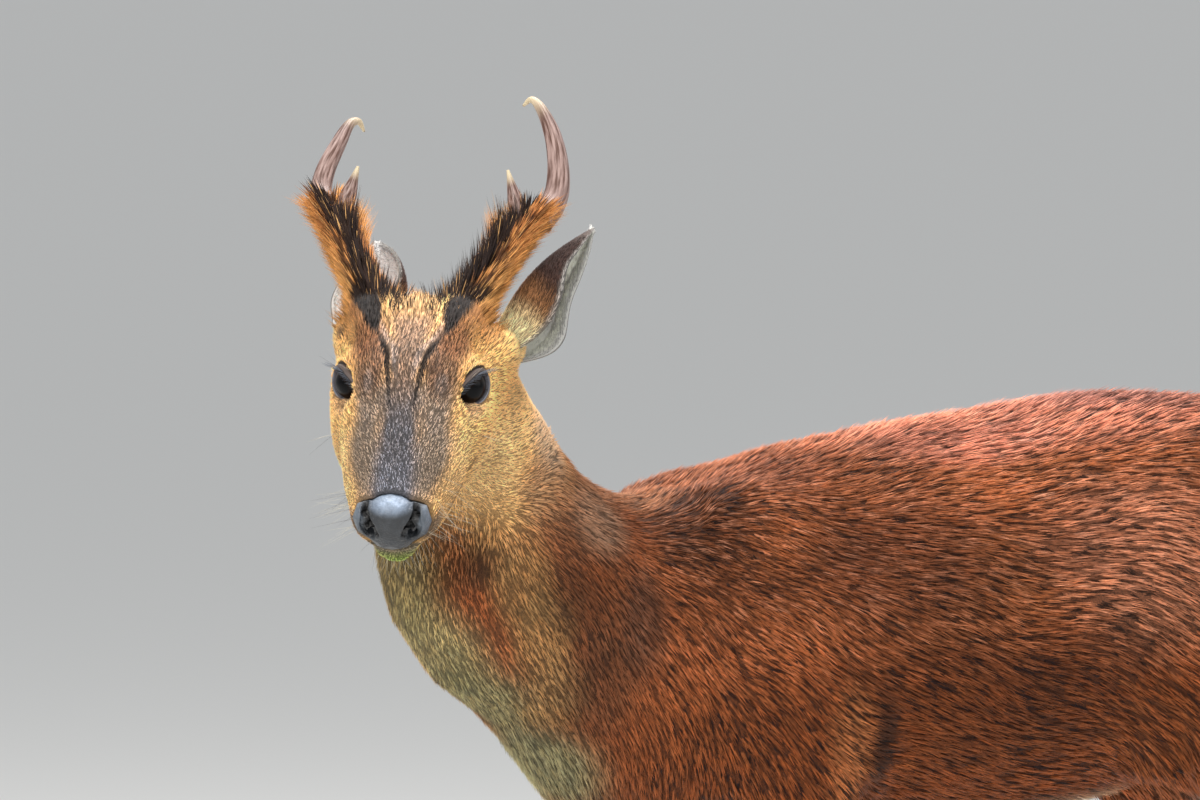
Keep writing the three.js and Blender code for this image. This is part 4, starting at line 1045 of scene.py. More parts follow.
nose = copy_of(["nose_pad"], "nose_leather")
swell(nose, 0.25 * MM)
voxel_skin(nose, 0.85 * MM)
relax(nose.data, 4)
head = to_head(places_of(nose.data))
NOSTRIL = [
    [99, 14, 9.5],
    [105, 15.4, 8],
    [110, 15.4, 5.5],
    [113.5, 13.6, 2],
    [116, 10.6, -1.5],
    [117, 8.2, -4.5],
]
NOSTRIL_RADII = [1.2, 1.9, 2.2, 3.2, 3.9, 2.6]
NOSTRIL_POINTS = 60
spots_on, _ = smooth_line(NOSTRIL, NOSTRIL_POINTS)
mirrored = one_side(head)
gaps = length_of(mirrored[:, None] - spots_on[None])
at = gaps.argmin(1) / (NOSTRIL_POINTS - 1)
wide = np.interp(at * (len(NOSTRIL) - 1), np.arange(len(NOSTRIL)), NOSTRIL_RADII)
gap = gaps.min(1) / wide
outward = outward_of(nose.data) @ head_axes
rim = 0.7 * peak(gap, 1.45, 0.35)
dent = 5.5 * np.clip(1 - gap**2, 0, 1)
head = head + outward * (rim - dent)[:, None]
put_places(nose.data, from_head(head))
leather = plain((0.018, 0.021, 0.026), len(head))
# Paler blue-grey top and wings of the pad: partly the leather's own tone, partly painted reflection of the
# sky on the wet pad.
leather = over(leather, (0.235, 0.295, 0.39), near_spot(mirrored, (104, 0, 12), (13, 15, 7)))
leather = over(leather, (0.12, 0.145, 0.18), near_spot(mirrored, (105, 20, -1), (11, 5, 11)) * 0.9)
leather = over(leather, (0.02, 0.022, 0.026), near_spot(mirrored, (112, 0, -20), (14, 24, 9)) * 0.8)
# Near black inside the nostrils: painted shade in the openings.
leather = over(leather, (0.006, 0.006, 0.007), eased(gap, 1.25, 0.85))
paint(nose.data, "leather", leather)
choose(nose)
bpy.ops.object.shade_smooth()
finished(nose, nose_material(), "nose_leather", "nose_pad")

# Antlers
# Short polished beams hooked back at the tip, with a small brow tine in front: pinkish-brown
# antler with darker streaks along its grooves and worn, ivory tips.
ANTLERS = {
    "left": dict(
        s=1,
        girth=1.12,
        beam=[
            [66, 70, 98],
            [74, 80, 109],
            [75, 90, 125],
            [69, 103, 149],
            [59, 112, 166],
            [54, 116, 169],
            [49, 120, 165],
        ],
        tine=[[57, 64, 90], [54, 64, 103], [47, 64, 128]],
    ),
    "right": dict(
        s=-1,
        girth=1,
        beam=[
            [64, 70, 100],
            [68, 79, 110],
            [67, 88, 122],
            [61, 99, 138],
            [55, 111, 151],
            [51, 116, 152],
            [48, 120, 146],
        ],
        tine=[[54, 64, 94], [50, 64, 107], [44, 64, 127]],
    ),
}
BEAM_RADII = [8.5, 6.8, 6.2, 5.4, 4.4, 2.9, 0.8]
TINE_RADII = [6.6, 4.8, 0.8]
GRAIN_LENGTH = 110  # of the streaks' map along a rod, mm


def antler_material():
    material, tree, shader = new_material("antler")
    grain = add_node(tree, "ShaderNodeUVMap", {"uv_map": "grain"}).outputs["UV"]
    long_way = add_node(tree, "ShaderNodeMapping", Scale=(9, 0.045, 1), Vector=grain)
    streak = noise(tree, 1, 6, long_way.outputs["Vector"])
    bone = toned(tree, streak, (0.38, (0.085, 0.035, 0.022)), (0.60, (0.34, 0.235, 0.21)))
    feed(
        tree,
        shader,
        Base_Color=mixed(tree, attribute(tree, "tip"), bone, (0.62, 0.52, 0.34, 1)),
        Roughness=ranged(tree, streak, 0, 1, 0.55, 0.32),
        Normal=bumped(tree, streak, 0.7, 0.6),
    )
    return material


def lay_map(mesh, name, where):
    mesh.uv_layers.new(name=name).data.foreach_set("uv", where.astype(np.float32).ravel())


def antler_rod(name, s, line, radii, girth, draw):
    rows, sides = 64, 30
    places, ahead = smooth_line(in_head(s, line), rows)
    t = np.linspace(0, 1, rows)
    radius = np.interp(t * (len(radii) - 1), np.arange(len(radii)), radii) * girth
    turn = np.linspace(0, 2 * math.pi, sides, endpoint=False)
    wave = sum(
        np.sin(turn[None] * k + draw.uniform(0, 6) + draw.uniform(-1, 1) * t[:, None] * 4)
        for k in (4, 7, 9)
    )
    radius = radius[:, None] * (1 + 0.028 * wave * (1 - t[:, None] ** 2))
    rod = rod_piece(name, from_head(rings_round(places, ahead, radius, sides)))
    mesh = rod.data
    size = np.arange(rows) / rows * GRAIN_LENGTH
    corners = read_all(mesh.loops, "vertex_index", 1, np.int32)
    ring = np.minimum(corners // sides, rows - 1)
    around = np.minimum(corners % sides, sides - corners % sides) / sides * 2
    lay_map(mesh, "grain", np.stack([around, size[ring]], 1))
    paint(mesh, "tip", np.concatenate([np.repeat(eased(t, 0.72, 0.97), sides), [0, 1]]))
    turn_outward(rod)
    return rod


antler_bone = antler_material()
draw = np.random.default_rng(5)
for side, antler in ANTLERS.items():
    beam = antler_rod(f"beam_{side}", antler["s"], antler["beam"], BEAM_RADII, antler["girth"], draw)
    tine = antler_rod(f"tine_{side}", antler["s"], antler["tine"], TINE_RADII, 1, draw)
    for rod, node in ((beam, f"antler_{side}"), (tine, f"brow_tine_{side}")):
        finished(rod, antler_bone, "antler", node)

# Coat
# Short guard hairs in small tufts that overlap like shingles along the lie of the coat and gather
# into pointed locks. Each tuft is a thin closed blade with its root in the skin, and tiny on the
# face and feet.
def both_sides(lies):
    """The same places and directions on the left and on the right."""
    return [
        (np.array(place) * (1, s, 1), np.array(way) * (1, s, 1)) for place, way in lies for s in (1, -1)
    ]


# Places in millimetres and the way the hair points there: first the head's own, then the body's
# along its middle, with y from the midline, and those of both flanks and all legs.
HEAD_LIES = [
    ((104, 0, 10), (-1, 0, 0.05)),
    ((70, 0, 18), (-1, 0, 0.05)),
    ((34, 8, 28), (-1, 0.05, 0.1)),
    ((5, 12, 32), (-1, 0.12, 0.15)),
    ((-28, 8, 30), (-0.9, 0, 0.7)),
    ((-46, 0, 24), (-0.6, 0, 0.9)),
    ((-40, 30, 24), (-0.95, 0.4, 0.3)),
    ((30, 28, 16), (-1, 0.35, -0.1)),
    ((60, 24, 2), (-1, 0.2, -0.15)),
    ((90, 20, -6), (-1, 0.25, -0.1)),
    ((50, 34, -18), (-1, 0.3, -0.35)),
    ((16, 46, -24), (-1, 0.2, -0.5)),
    ((12, 44, -62), (-0.85, 0.2, -0.7)),
    ((-30, 50, -26), (-0.9, 0.1, -0.6)),
    ((-42, 50, 0), (-1, 0.2, 0.0)),
    ((100, 6, -40), (-1, 0, -0.2)),
    ((60, 10, -52), (-1, 0, -0.1)),
    ((10, 10, -72), (-0.9, 0, -0.3)),
]
MIDDLE_LIES = [
    ((-330, -20, 470), (0.15, 0.0, -1)),
    ((-300, -10, 400), (0.35, 0.0, -1)),
    ((-240, 0, 345), (0.6, 0.0, -0.8)),
    ((-260, 0, 540), (0.6, 0.1, -0.75)),
    ((-190, 0, 515), (0.85, 0.05, -0.3)),
    ((-100, 0, 530), (1, 0, 0.0)),
    ((100, 0, 545), (1, 0, 0.0)),
    ((250, 0, 545), (1, 0, -0.1)),
    ((350, 0, 500), (0.6, 0, -0.9)),
    ((360, 0, 430), (0.1, 0, -1)),
    ((60, 0, 300), (1, 0, -0.05)),
]
SIDE_LIES = [
    ((-280, 60, 500), (0.35, -0.1, -0.9)),
    ((-230, 70, 450), (0.45, -0.05, -0.85)),
    ((-130, 75, 460), (0.9, 0, -0.36)),
    ((-110, 75, 380), (0.6, 0, -0.8)),
    ((40, 80, 480), (1, 0, -0.08)),
    ((40, 80, 380), (1, 0, -0.25)),
    ((240, 80, 460), (0.94, 0, -0.36)),
    ((240, 80, 360), (0.8, 0, -0.6)),
    ((-80, 57, 250), (0.1, 0, -1)),
    ((-80, 57, 80), (0.05, 0, -1)),
    ((320, 57, 220), (0.1, 0, -1)),
    ((330, 57, 80), (0.05, 0, -1)),
]
BODY_LIE_REACH, HEAD_LIE_REACH = 48.0, 15.0  # mm


def blended_way(points, lies, reach):
    """The directions of the nearest lies, blended by distance."""
    total = np.zeros_like(points)
    weight = np.full(len(points), 1e-12)
    for place, way in lies:
        near = np.exp(-(length_of(points - np.array(place)) ** 2) / (2 * reach**2))
        total += near[:, None] * unit(np.array(way, float))
        weight += near
    return total / weight[:, None]


def along_skin(way, outward):
    return unit(way - (way * outward).sum(1)[:, None] * outward)


def lie_of(points, outward):
    """The way the hair points at each place, along the skin."""
    head, body = to_head(points), points / MM - (0, MIDLINE, 0)
    total = blended_way(body, MIDDLE_LIES + both_sides(SIDE_LIES), BODY_LIE_REACH)
    face = blended_way(head, both_sides(HEAD_LIES), HEAD_LIE_REACH) @ head_axes.T
    for side in SIDES:  # hair turns away round the eyes
        off = head - eye_places[side]
        ring = np.exp(-((length_of(off) / 21) ** 4))
        face += 1.2 * ring[:, None] * (unit(off) @ head_axes.T)
    on_head = (eased(head[:, 0], -80, -50) * eased(head[:, 2], -100, -74))[:, None]
    return along_skin(total * (1 - on_head) + face * on_head, outward)


def sown(mesh, chosen, count, draw):
    """Evenly spread root places on the chosen triangles, with their outward ways and map places."""
    mesh.calc_loop_triangles()
    corners = read_all(mesh.loop_triangles, "vertices", 3, np.int32)
    loops = read_all(mesh.loop_triangles, "loops", 3, np.int32)
    keep = np.flatnonzero(chosen[corners[:, 0]] & hairy[corners].all(1))
    corners, loops = corners[keep], loops[keep]
    places, outward = places_of(mesh), outward_of(mesh)
    a, b, c = places[corners].transpose(1, 0, 2)
    size = length_of(np.cross(b - a, c - a)) / 2
    run = np.cumsum(size)
    at = (np.arange(count) + draw.uniform(0, 1, count)) / count * run[-1]
    pick = np.minimum(np.searchsorted(run, at), len(run) - 1)
    u, v = draw.uniform(0, 1, (2, count))
    flip = u + v > 1
    u, v = np.where(flip, 1 - u, u), np.where(flip, 1 - v, v)
    mix = np.stack([1 - u - v, u, v], 1)[..., None]
    spots = read_all(mesh.uv_layers["coat_places"].data, "uv", 2).astype(float)
    return (
        (places[corners[pick]] * mix).sum(1),
        unit((outward[corners[pick]] * mix).sum(1)),
        (spots[loops[pick]] * mix).sum(1),
    )


TUFT_PATCH = 0.003  # the part of the map that one tuft takes up
TUFT_THICKNESS = 0.28  # as a share of its width


def tufts(
    name, roots, outward, lie, spots, colour, length, width, lift, straight=True, sink=0.6, curl=0.5
):
    """Closed tapered blades: a root ring and a tip, with one more ring between where not straight.
    All sizes are in millimetres, one for each tuft; `lift` is the tip's height as a share of the
    length."""
    count = len(roots)
    across = np.cross(outward, lie)
    column = lambda values: np.broadcast_to(np.asarray(values, float), (count,))[:, None]
    long, wide, deep = (column(v) * MM for v in (length, width / 2, width * TUFT_THICKNESS))
    lift = column(lift)
    base = roots - outward * (column(sink) * MM)
    ring = lambda middle, scale: [
        middle + across * wide * scale,
        middle + outward * deep * scale,
        middle - across * wide * scale,
    ]
    tip = roots + lie * long + outward * long * lift
    patch = [(-0.5, -0.5), (0, -0.5), (0.5, -0.5)]
    if straight:
        rows = ring(base, 1.0) + [tip]
        faces = [(0, 1, 3), (1, 2, 3), (2, 0, 3), (0, 2, 1)]
        heights = (0, 0, 0, 1)
    else:
        bend = roots + lie * long * 0.5 + outward * long * lift * (0.5 + 0.5 * curl)
        rows = ring(base, 0.8) + ring(bend, 1.0) + [tip]
        faces = []
        for p, q in ((0, 1), (1, 2), (2, 0)):
            faces += [(p, q, q + 3), (p, q + 3, p + 3), (p + 3, q + 3, 6)]
        faces.append((0, 2, 1))
        heights = (0, 0, 0, 0.5, 0.5, 0.5, 1)
        patch += [(-0.5, 0), (0, 0), (0.5, 0)]
    patch.append((0, 0.5))
    step = len(rows)
    points = np.stack(rows, 1).reshape(-1, 3)
    faces = (np.array(faces)[None] + np.arange(count)[:, None, None] * step).reshape(-1, 3)
    mesh = bpy.data.meshes.new(name)
    mesh.vertices.add(len(points))
    mesh.vertices.foreach_set("co", points.astype(np.float32).ravel())
    mesh.loops.add(faces.size)
    mesh.loops.foreach_set("vertex_index", faces.astype(np.int32).ravel())
    mesh.polygons.add(len(faces))
    mesh.polygons.foreach_set("loop_start", np.arange(0, faces.size, 3, dtype=np.int32))
    mesh.polygons.foreach_set("loop_total", np.full(len(faces), 3, np.int32))
    mesh.update(calc_edges=True)
    mesh.polygons.foreach_set("use_smooth", np.ones(len(faces), bool))
    paint(mesh, "pelage", np.repeat(colour, step, 0))
    paint(mesh, "along", np.tile(heights, count))
    where = np.repeat(spots, step, 0) + np.tile(np.array(patch) * TUFT_PATCH, (count, 1))
    lay_map(mesh, "OFBake", where[faces.ravel()])
    piece = bpy.data.objects.new(name, mesh)
    bpy.context.collection.objects.link(piece)
    return piece


def map_places(across, along):
    """Places on a piece's map, kept off its edge."""
    return np.stack([across, along], 1) * 0.98 + 0.01


def hair_material(name, root_shade, tip_shade, gloss, shine=0.22):
    """Hair: each tuft's own colour, darker at the root and paler at the tip, with a faint mottle."""
    material, tree, shader = new_material(name)
    fade = ranged(tree, attribute(tree, "along"), 0, 1, root_shade, tip_shade)
    mottle = ranged(tree, noise(tree, 320, 3), 0.3, 0.7, 0.78, 1.22)
    light = joined_values(tree, "MULTIPLY", fade, mottle)
    colour = mixed(tree, 1, attribute(tree, "pelage", "Color"), light, "MULTIPLY")
    feed(tree, shader, Base_Color=colour, Roughness=gloss, Specular_IOR_Level=shine)
    return material


coat_hair = hair_material("coat_hair", 0.38, 1.45, 0.55)
skin_mesh = skin.data
skin_mesh.uv_layers.new(name="coat_places")
skin_mesh.uv_layers.active = skin_mesh.uv_layers["coat_places"]
all_places = places_of(skin_mesh)
all_head = to_head(all_places)
body_mm = all_places / MM - (0, MIDLINE, 0)
on_shells = read_all(skin_mesh.attributes["shell"].data, "value") > 0.5


def tree_of(points):
    """A tree that finds the nearest of the points."""
    tree = kdtree.KDTree(len(points))
    for i, point in enumerate(points):
        tree.insert(Vector(point), i)
    tree.balance()
    return tree


nose_tree = tree_of(places_of(nose.data))
by_nose = np.zeros(len(all_places), bool)
for i in np.flatnonzero((all_head[:, 0] > 85) & ~on_shells):
    by_nose[i] = nose_tree.find(Vector(all_places[i]))[2] < 1.6 * MM
full_gap = np.full(len(all_places), 99.0)
full_gap[:skin_only] = lid_gap
mouth_line = (np.abs(mouth_height(all_head)) < 1.2) & (mouth_fade(all_head) > 0.3)
mouth_line &= all_head[:, 0] > 30
slit = off_line(all_head, BROW_SLIT)[0] < 0.3
gland = off_line(all_head, GLAND)[0] < 0.6
on_lid = np.zeros(len(all_places), bool)
on_lid[:skin_only] = (above > 0.5) & (lid_gap < 13)
hairy = ~on_shells & ~by_nose & (full_gap > 4.5) & ~on_lid & ~mouth_line & ~slit & ~gland
head_part = (all_head[:, 0] > -58) & (all_head[:, 2] > -80) & (all_places[:, 0] < -0.24)
stem_part = np.zeros(len(all_places), bool)
for side, s in SIDES.items():
    places, _ = smooth_line(in_head(s, PEDICLE_LINE), 30)
    reach = length_of(all_head[:, None] - places[None, 6:]).min(1)
    stem_part |= (reach < 16) & head_part
leg_part = body_mm[:, 2] < 262
tail_part = (length_of(body_mm - np.array([392, 3, 400])) < 90) & (body_mm[:, 0] > 372)
neck_part = ~head_part & (body_mm[:, 0] < -178)


def coat(name, part, count, locks, length, width, lift, seed, pull=0.8, deep=0.6):
    """One piece of coat on the chosen part of the skin, drawn into a number of locks by `pull`,
    with shadows `deep` between them. Length, width and lift are functions of the place."""
    draw = np.random.default_rng(seed)
    corners = [np.array(p.vertices) for p in skin_mesh.polygons if part[p.vertices[0]]]
    chosen = np.zeros(len(part), bool)
    chosen[np.concatenate(corners)] = True
    open_faces(skin, chosen)
    bpy.ops.uv.smart_project(angle_limit=math.radians(70), island_margin=0.004)
    close_faces()
    roots, outward, spots = sown(skin_mesh, part, count, draw)
    long = length(roots) * draw.uniform(0.75, 1.25, count)
    way = lie_of(roots, outward)
    across = np.cross(outward, way)
    angle = draw.normal(0, 0.09, count) + 0.20 * wave_at(roots, 0.014, 5)
    way = way * np.cos(angle)[:, None] + across * np.sin(angle)[:, None]
    way, edge, lock = in_locks(roots, outward, way, long, locks, pull, draw)
    colour, grizzle = pelage(roots)
    patch = wave_at(roots, 0.007, 6)
    light = draw.uniform(-1, 1, locks)[lock] * 0.8 + draw.uniform(-1, 1, count) * 0.4
    shade = (1 + grizzle * light + 0.15 * patch) * (1.15 + 0.25 * deep - 1.25 * deep * edge**1.2)
    warm = draw.normal(0, 0.035, locks)[lock]
    trunk_share = eased(roots[:, 0] / MM, -230, -120) * eased(roots[:, 2] / MM, 370, 450)
    colour = over(colour, (0.66, 0.36, 0.25), np.clip(light - 0.1, 0, 1) * trunk_share * 0.22)
    warmth = np.stack([1 + warm, np.ones(count), 1 - warm], 1)
    colour = colour * np.clip(shade, 0.10, 2.4)[:, None] * warmth
    piece = tufts(
        name,
        roots,
        outward,
        way,
        spots,
        np.clip(colour, 0.004, 1.15),
        long,
        width(roots) * draw.uniform(0.75, 1.2, count),
        np.maximum(0.03, lift(roots) * draw.uniform(0.7, 1.3, count) * (1.6 - 1.2 * edge)),
    )
    finished(piece, coat_hair, "coat")


def in_locks(roots, outward, way, long, locks, pull, draw):
    """Draws hairs together into small pointed locks. Gives the turned ways, how near each hair is
    to its lock's edge (0 to 1) and the number of its lock."""
    middles = roots[draw.choice(len(roots), locks, replace=False)]
    tree = tree_of(middles)
    lock = np.array([tree.find(Vector(root))[1] for root in roots])
    across = np.cross(outward, way)
    off = ((roots - middles[lock]) * across).sum(1)
    edge = np.clip(np.abs(off) / np.percentile(np.abs(off), 92), 0, 1)
    return unit(way - across * (off * pull / (long * MM))[:, None]), edge, lock


def face_length(points):
    head = one_side(to_head(points))
    stem = near_spot(head, (-46, 28, 26), (24, 20, 20))
    crown = near_spot(head, (-48, 0, 22), (16, 14, 14))
    return 2.0 + 2.4 * eased(head[:, 0], 90, -40) + 5.0 * stem + 4.5 * crown


def face_lift(points):
    head = one_side(to_head(points))
    return 0.14 + 0.22 * near_spot(head, (-48, 8, 24), (20, 26, 18))


left_half = body_mm[:, 1] < 0
head_left = all_head[:, 1] > 0
constant = lambda value: lambda points: np.full(len(points), value)
face = head_part & ~stem_part
for name, part, seed in (("left", head_left, 101), ("right", ~head_left, 102)):
    name = f"coat_face_{name}"
    coat(name, face & part, 42000, 9500, face_length, constant(0.72), face_lift, seed, deep=0.45)
trunk = ~head_part & ~neck_part & ~leg_part & ~tail_part & ~stem_part
neck_size = lambda points: 5.0 + 3.5 * eased(points[:, 0] / MM, -330, -180)
neck_width = lambda points: 0.85 + 0.3 * eased(points[:, 0] / MM, -330, -180)
for name, part, count, locks, seed in (
    ("coat_neck_left", left_half, 34000, 6400, 103),
    ("coat_neck_right", ~left_half, 24000, 4400, 104),
):
    part = neck_part & part
    coat(name, part, count, locks, neck_size, neck_width, constant(0.2), seed, 0.85, 0.85)
ahead_half = body_mm[:, 0] < 60
trunk_size = lambda points: 8.5 + 3.0 * eased(points[:, 0] / MM, -150, 0)
for name, part, count, seed in (
    ("coat_shoulder_left", left_half & ahead_half, 40000, 105),
    ("coat_rump_left", left_half & ~ahead_half, 40000, 106),
    ("coat_shoulder_right", ~left_half & ahead_half, 28000, 107),
    ("coat_rump_right", ~left_half & ~ahead_half, 28000, 108),
):
    part = trunk & part
    wide = constant(1.3 if count > 30000 else 1.55)
    coat(name, part, count, count // 8, trunk_size, wide, constant(0.2), seed, 0.92, 1.25)
leg_size = lambda points: 4.5 + 5.5 * eased(points[:, 2] / MM, 60, 240)
leg_width = lambda points: 0.9 + 0.6 * eased(points[:, 2] / MM, 60, 240)
fore_part = leg_part & (body_mm[:, 0] < 100)
coat("coat_forelegs", fore_part, 12000, 1800, leg_size, leg_width, constant(0.13), 109)
coat("coat_hindlegs", leg_part & ~fore_part, 13000, 1900, leg_size, leg_width, constant(0.13), 110)
skin_mesh.uv_layers.remove(skin_mesh.uv_layers["coat_places"])

# Ear fur: short hair up the backs, and a pale fringe along each margin that leans into the cup.
EAR_BACK_HAIRS, EAR_FRONT_HAIRS = 6500, 3800
draw = np.random.default_rng(31)
for side in EARS:
    outer, inner, middles = ear_shapes[side]
    rows, columns = outer.shape[:2]
    parts = []
    for inside, sheet, count in ((False, outer, EAR_BACK_HAIRS), (True, inner, EAR_FRONT_HAIRS)):
        t = draw.uniform(0.02, 0.97, count)
        c = draw.uniform(-0.97, 0.97, count)
        if inside:
            edge = draw.uniform(0, 1, count) < 0.55
            c = np.where(edge, np.sign(c) * draw.uniform(0.82, 0.99, count), c)
        row, column = t * (rows - 1), (c + 1) / 2 * (columns - 1)
        r, k = row.astype(int), column.astype(int)
        fr, fc = (row - r)[:, None], (column - k)[:, None]
        r1, k1 = np.minimum(r + 1, rows - 1), np.minimum(k + 1, columns - 1)
        low = sheet[r, k] * (1 - fc) + sheet[r, k1] * fc
        high = sheet[r1, k] * (1 - fc) + sheet[r1, k1] * fc
        roots = low * (1 - fr) + high * fr
        up = unit(high - low)
        sideways = unit(sheet[r, k1] - sheet[r, k])
        out = unit(np.cross(sideways, up))
        flip = np.sign((out * (roots - middles[r])).sum(1)) * (-1 if inside else 1)
        out = out * np.where(flip == 0, 1, flip)[:, None]
        way = up + draw.normal(0, 0.16, (count, 3))
        if inside:
            way = way - sideways * np.sign(c)[:, None] * 0.5
        way = along_skin(way, out)
        tone = ear_colour(side, t, c, np.full(count, inside))
        tone = tone * draw.uniform(0.75, 1.3, count)[:, None]
        size = np.where(inside & (np.abs(c) > 0.8), 7.5, 4.2 if inside else 4.6)
        size = size * draw.uniform(0.7, 1.2, count)
        spots = map_places((c + 1) / 4 + (0.5 if inside else 0), t)
        parts.append((roots, out, way, spots, tone, size, np.full(count, 0.65), np.full(count, 0.14)))
    roots, out, way, spots, tone, size, wide, lift = (np.concatenate(v) for v in zip(*parts))
    piece = tufts(
        f"ear_fur_{side}",
        from_head(roots),
        out @ head_axes.T,
        way @ head_axes.T,
        spots,
        np.clip(tone, 0.004, 0.95),
        size,
        wide,
        lift,
        sink=0.25,
    )
    finished(piece, coat_hair, "coat")

# Pedicle hair
# Long bristly hair from the brows up each stem, black down the front and inner side, rust round it
# and golden on the outer edge. It follows the stem, lifts off it towards the top and passes the
# antler's foot.
STEM_HAIR_LINE = [[-15, 20.5, 22], [-27, 23, 17], [-44, 26, 12], [-87, 46, 19], [-123, 64, 26]]
bristle_hair = hair_material("bristle_hair", 0.5, 1.35, 0.55, shine=0.06)
LINE_POINTS, STEM_HAIRS, STEM_LOCKS = 200, 11000, 900
SKIN_REACH = 26 * MM  # how far from the line the skin is looked for
skin_tree = BVHTree.FromObject(skin, bpy.context.evaluated_depsgraph_get())


def spokes_round(ahead, turn, flat=1.0):
    """Directions out from a line, `turn` round it from its sideways direction, and the latter."""
    side_way = np.array([0.0, 1.0, 0.0])
    out = unit(side_way - (ahead @ side_way)[:, None] * ahead)
    up = np.cross(ahead, out)
    return out * np.cos(turn)[:, None] + up * (np.sin(turn) * flat)[:, None], out


for side, s in SIDES.items():
    draw = np.random.default_rng(61 + s)
    count, locks = STEM_HAIRS, STEM_LOCKS
    places, ahead = smooth_line(np.array(STEM_HAIR_LINE) * (1, s, 1), LINE_POINTS)
    t = draw.uniform(0.0, 0.98, count)
    turn = draw.uniform(0, 2 * math.pi, count)
    at = (t * (LINE_POINTS - 1)).astype(int)
    thick = 13.0 - 3.0 * t**2
    forward = ahead[at]
    outward = unit(spokes_round(forward, turn)[0])
    starts, aims = from_head(places[at]), outward @ head_axes.T
    for i in range(count):
        hit = skin_tree.ray_cast(Vector(starts[i]), Vector(aims[i]), SKIN_REACH)
        thick[i] = hit[3] / MM if hit[0] else (thick[i] if t[i] > 0.5 else 0)
    seen = thick > 0
    count = int(seen.sum())
    t, turn, at, forward, outward, thick = (v[seen] for v in (t, turn, at, forward, outward, thick))
    roots = places[at] + outward * thick[:, None]
    front = outward @ np.array([0.68, 0.0, 0.73])
    inner = outward @ unit(np.array([-0.15, -s, 0.0]))
    ragged = 0.16 * wave_at(roots * MM, 0.006, 9)
    middle = 0.80 - 0.55 * t if s > 0 else 0.55 - 0.85 * t
    half = 0.62 - 0.30 * t
    stripe = eased(np.abs(inner + ragged - middle), half + 0.14, half - 0.14)
    stripe *= eased(front, -0.6, -0.1)
    ruff = eased(t, 0.55, 0.8) * eased(inner, 0.1, 0.7)
    beside = np.abs(roots[:, 1] - places[at][:, 1])
    stripe *= eased(beside - 90 * t, 9, 4)
    long = draw.uniform(10, 16, count) * (0.45 + 0.55 * eased(t, 0, 0.3) + 0.1 * t)
    long *= 0.9 + 0.25 * stripe + 0.3 * ruff
    long *= 1 - 0.62 * eased(t, 0.66, 0.9) * eased(inner, -0.5, 0.2)
    way = along_skin(unit(forward + draw.normal(0, 0.07, (count, 3))), outward)
    way, edge, lock = in_locks(roots * MM, outward, way, long, locks, 0.8, draw)
    lock_draw = draw.uniform(0, 1, locks)[lock]
    skin_tone = pelage(from_head(roots))[0]
    colour = over(skin_tone, (0.42, 0.16, 0.05), eased(t, 0.12, 0.30))
    golden = eased(inner, 0.0, -0.8) * eased(t, 0.8, 0.3) * eased(t, 0.1, 0.3)
    golden = np.maximum(golden, ruff * 0.7)
    colour = over(colour, (0.66, 0.35, 0.12), golden * 0.9)
    edges = eased(np.abs(inner), 0.75, 0.98) * eased(t, 0.1, 0.3)
    colour = over(colour, (0.66, 0.30, 0.09), edges * 0.6)
    colour = over(colour, (0.66, 0.32, 0.10), draw.uniform(0, 1, count) ** 3 * 0.8)
    streak = (lock_draw < 0.5) * eased(front, -0.1, 0.4) * eased(t, 0.12, 0.4)
    streak = streak * eased(inner, -0.85, -0.5)
    colour = over(colour, (0.06, 0.027, 0.016), streak * 0.9)
    dark = eased(stripe + (lock_draw - 0.5) * 0.5, 0.25, 0.6)
    dark = np.maximum(dark, eased(skin_tone.sum(1), 0.3, 0.08))
    colour = over(colour, (0.014, 0.009, 0.008), dark * 0.98)
    pale_tip = draw.uniform(0, 1, count) < 0.05
    colour = over(colour, (0.60, 0.34, 0.13), pale_tip * 0.8)
    # Random lightness for each hair, and painted shade towards the edges of its lock.
    colour *= (draw.uniform(0.7, 1.3, count) * (1.2 - 0.75 * edge**1.3))[:, None]
    spots = map_places(turn / (2 * math.pi), t)
    wide = draw.uniform(0.8, 1.3, count)
    lift = draw.uniform(0.6, 1.4, count) * (0.26 + 0.18 * stripe + 0.30 * t * t + 0.45 * ruff)
    piece = tufts(
        f"pedicle_hair_{side}",
        from_head(roots),
        outward @ head_axes.T,
        way @ head_axes.T,
        spots,
        np.clip(colour, 0.004, 0.95),
        long,
        wide,
        lift * (1.3 - 0.6 * edge),
        sink=1.2,
    )
    finished(piece, bristle_hair, "coat", f"pedicle_{side}")

# Tail
# A short hanging tail: a slim core under long hair that spreads to the sides, chestnut above and
# white beneath.
draw = np.random.default_rng(77)
TAIL_HAIRS = 5200
count = TAIL_HAIRS
places, ahead = smooth_line(TAIL_LINE, LINE_POINTS)
t = draw.uniform(0.02, 0.98, count)
turn = draw.uniform(0, 2 * math.pi, count)
at = (t * (LINE_POINTS - 1)).astype(int)
forward = ahead[at]
spoke, out = spokes_round(forward, turn, TAIL_FLATNESS)
outward = unit(spoke)
roots = places[at] + spoke * tail_girth(t)[:, None]
under = eased(outward[:, 0], -0.05, -0.45)
colour = over(plain((0.40, 0.13, 0.05), count), WHITE, under)
colour = over(colour, WHITE, (np.abs(np.cos(turn)) > 0.9) * 0.5)
colour *= draw.uniform(0.75, 1.25, count)[:, None]
way = unit(forward + draw.normal(0, 0.07, (count, 3)) + out * (np.cos(turn) * 0.12)[:, None])
way = along_skin(way, outward)
tail = tufts(
    "tail_hair",
    roots * MM,
    outward,
    way,
    map_places(turn / (2 * math.pi), t),
    np.clip(colour, 0.004, 0.95),
    draw.uniform(26, 44, count) * (1 - 0.25 * t),
    draw.uniform(1.2, 2.2, count),
    draw.uniform(0.03, 0.16, count),
    straight=False,
    sink=1.0,
    curl=0.6,
)
finished(tail, coat_hair, "coat", "tail")

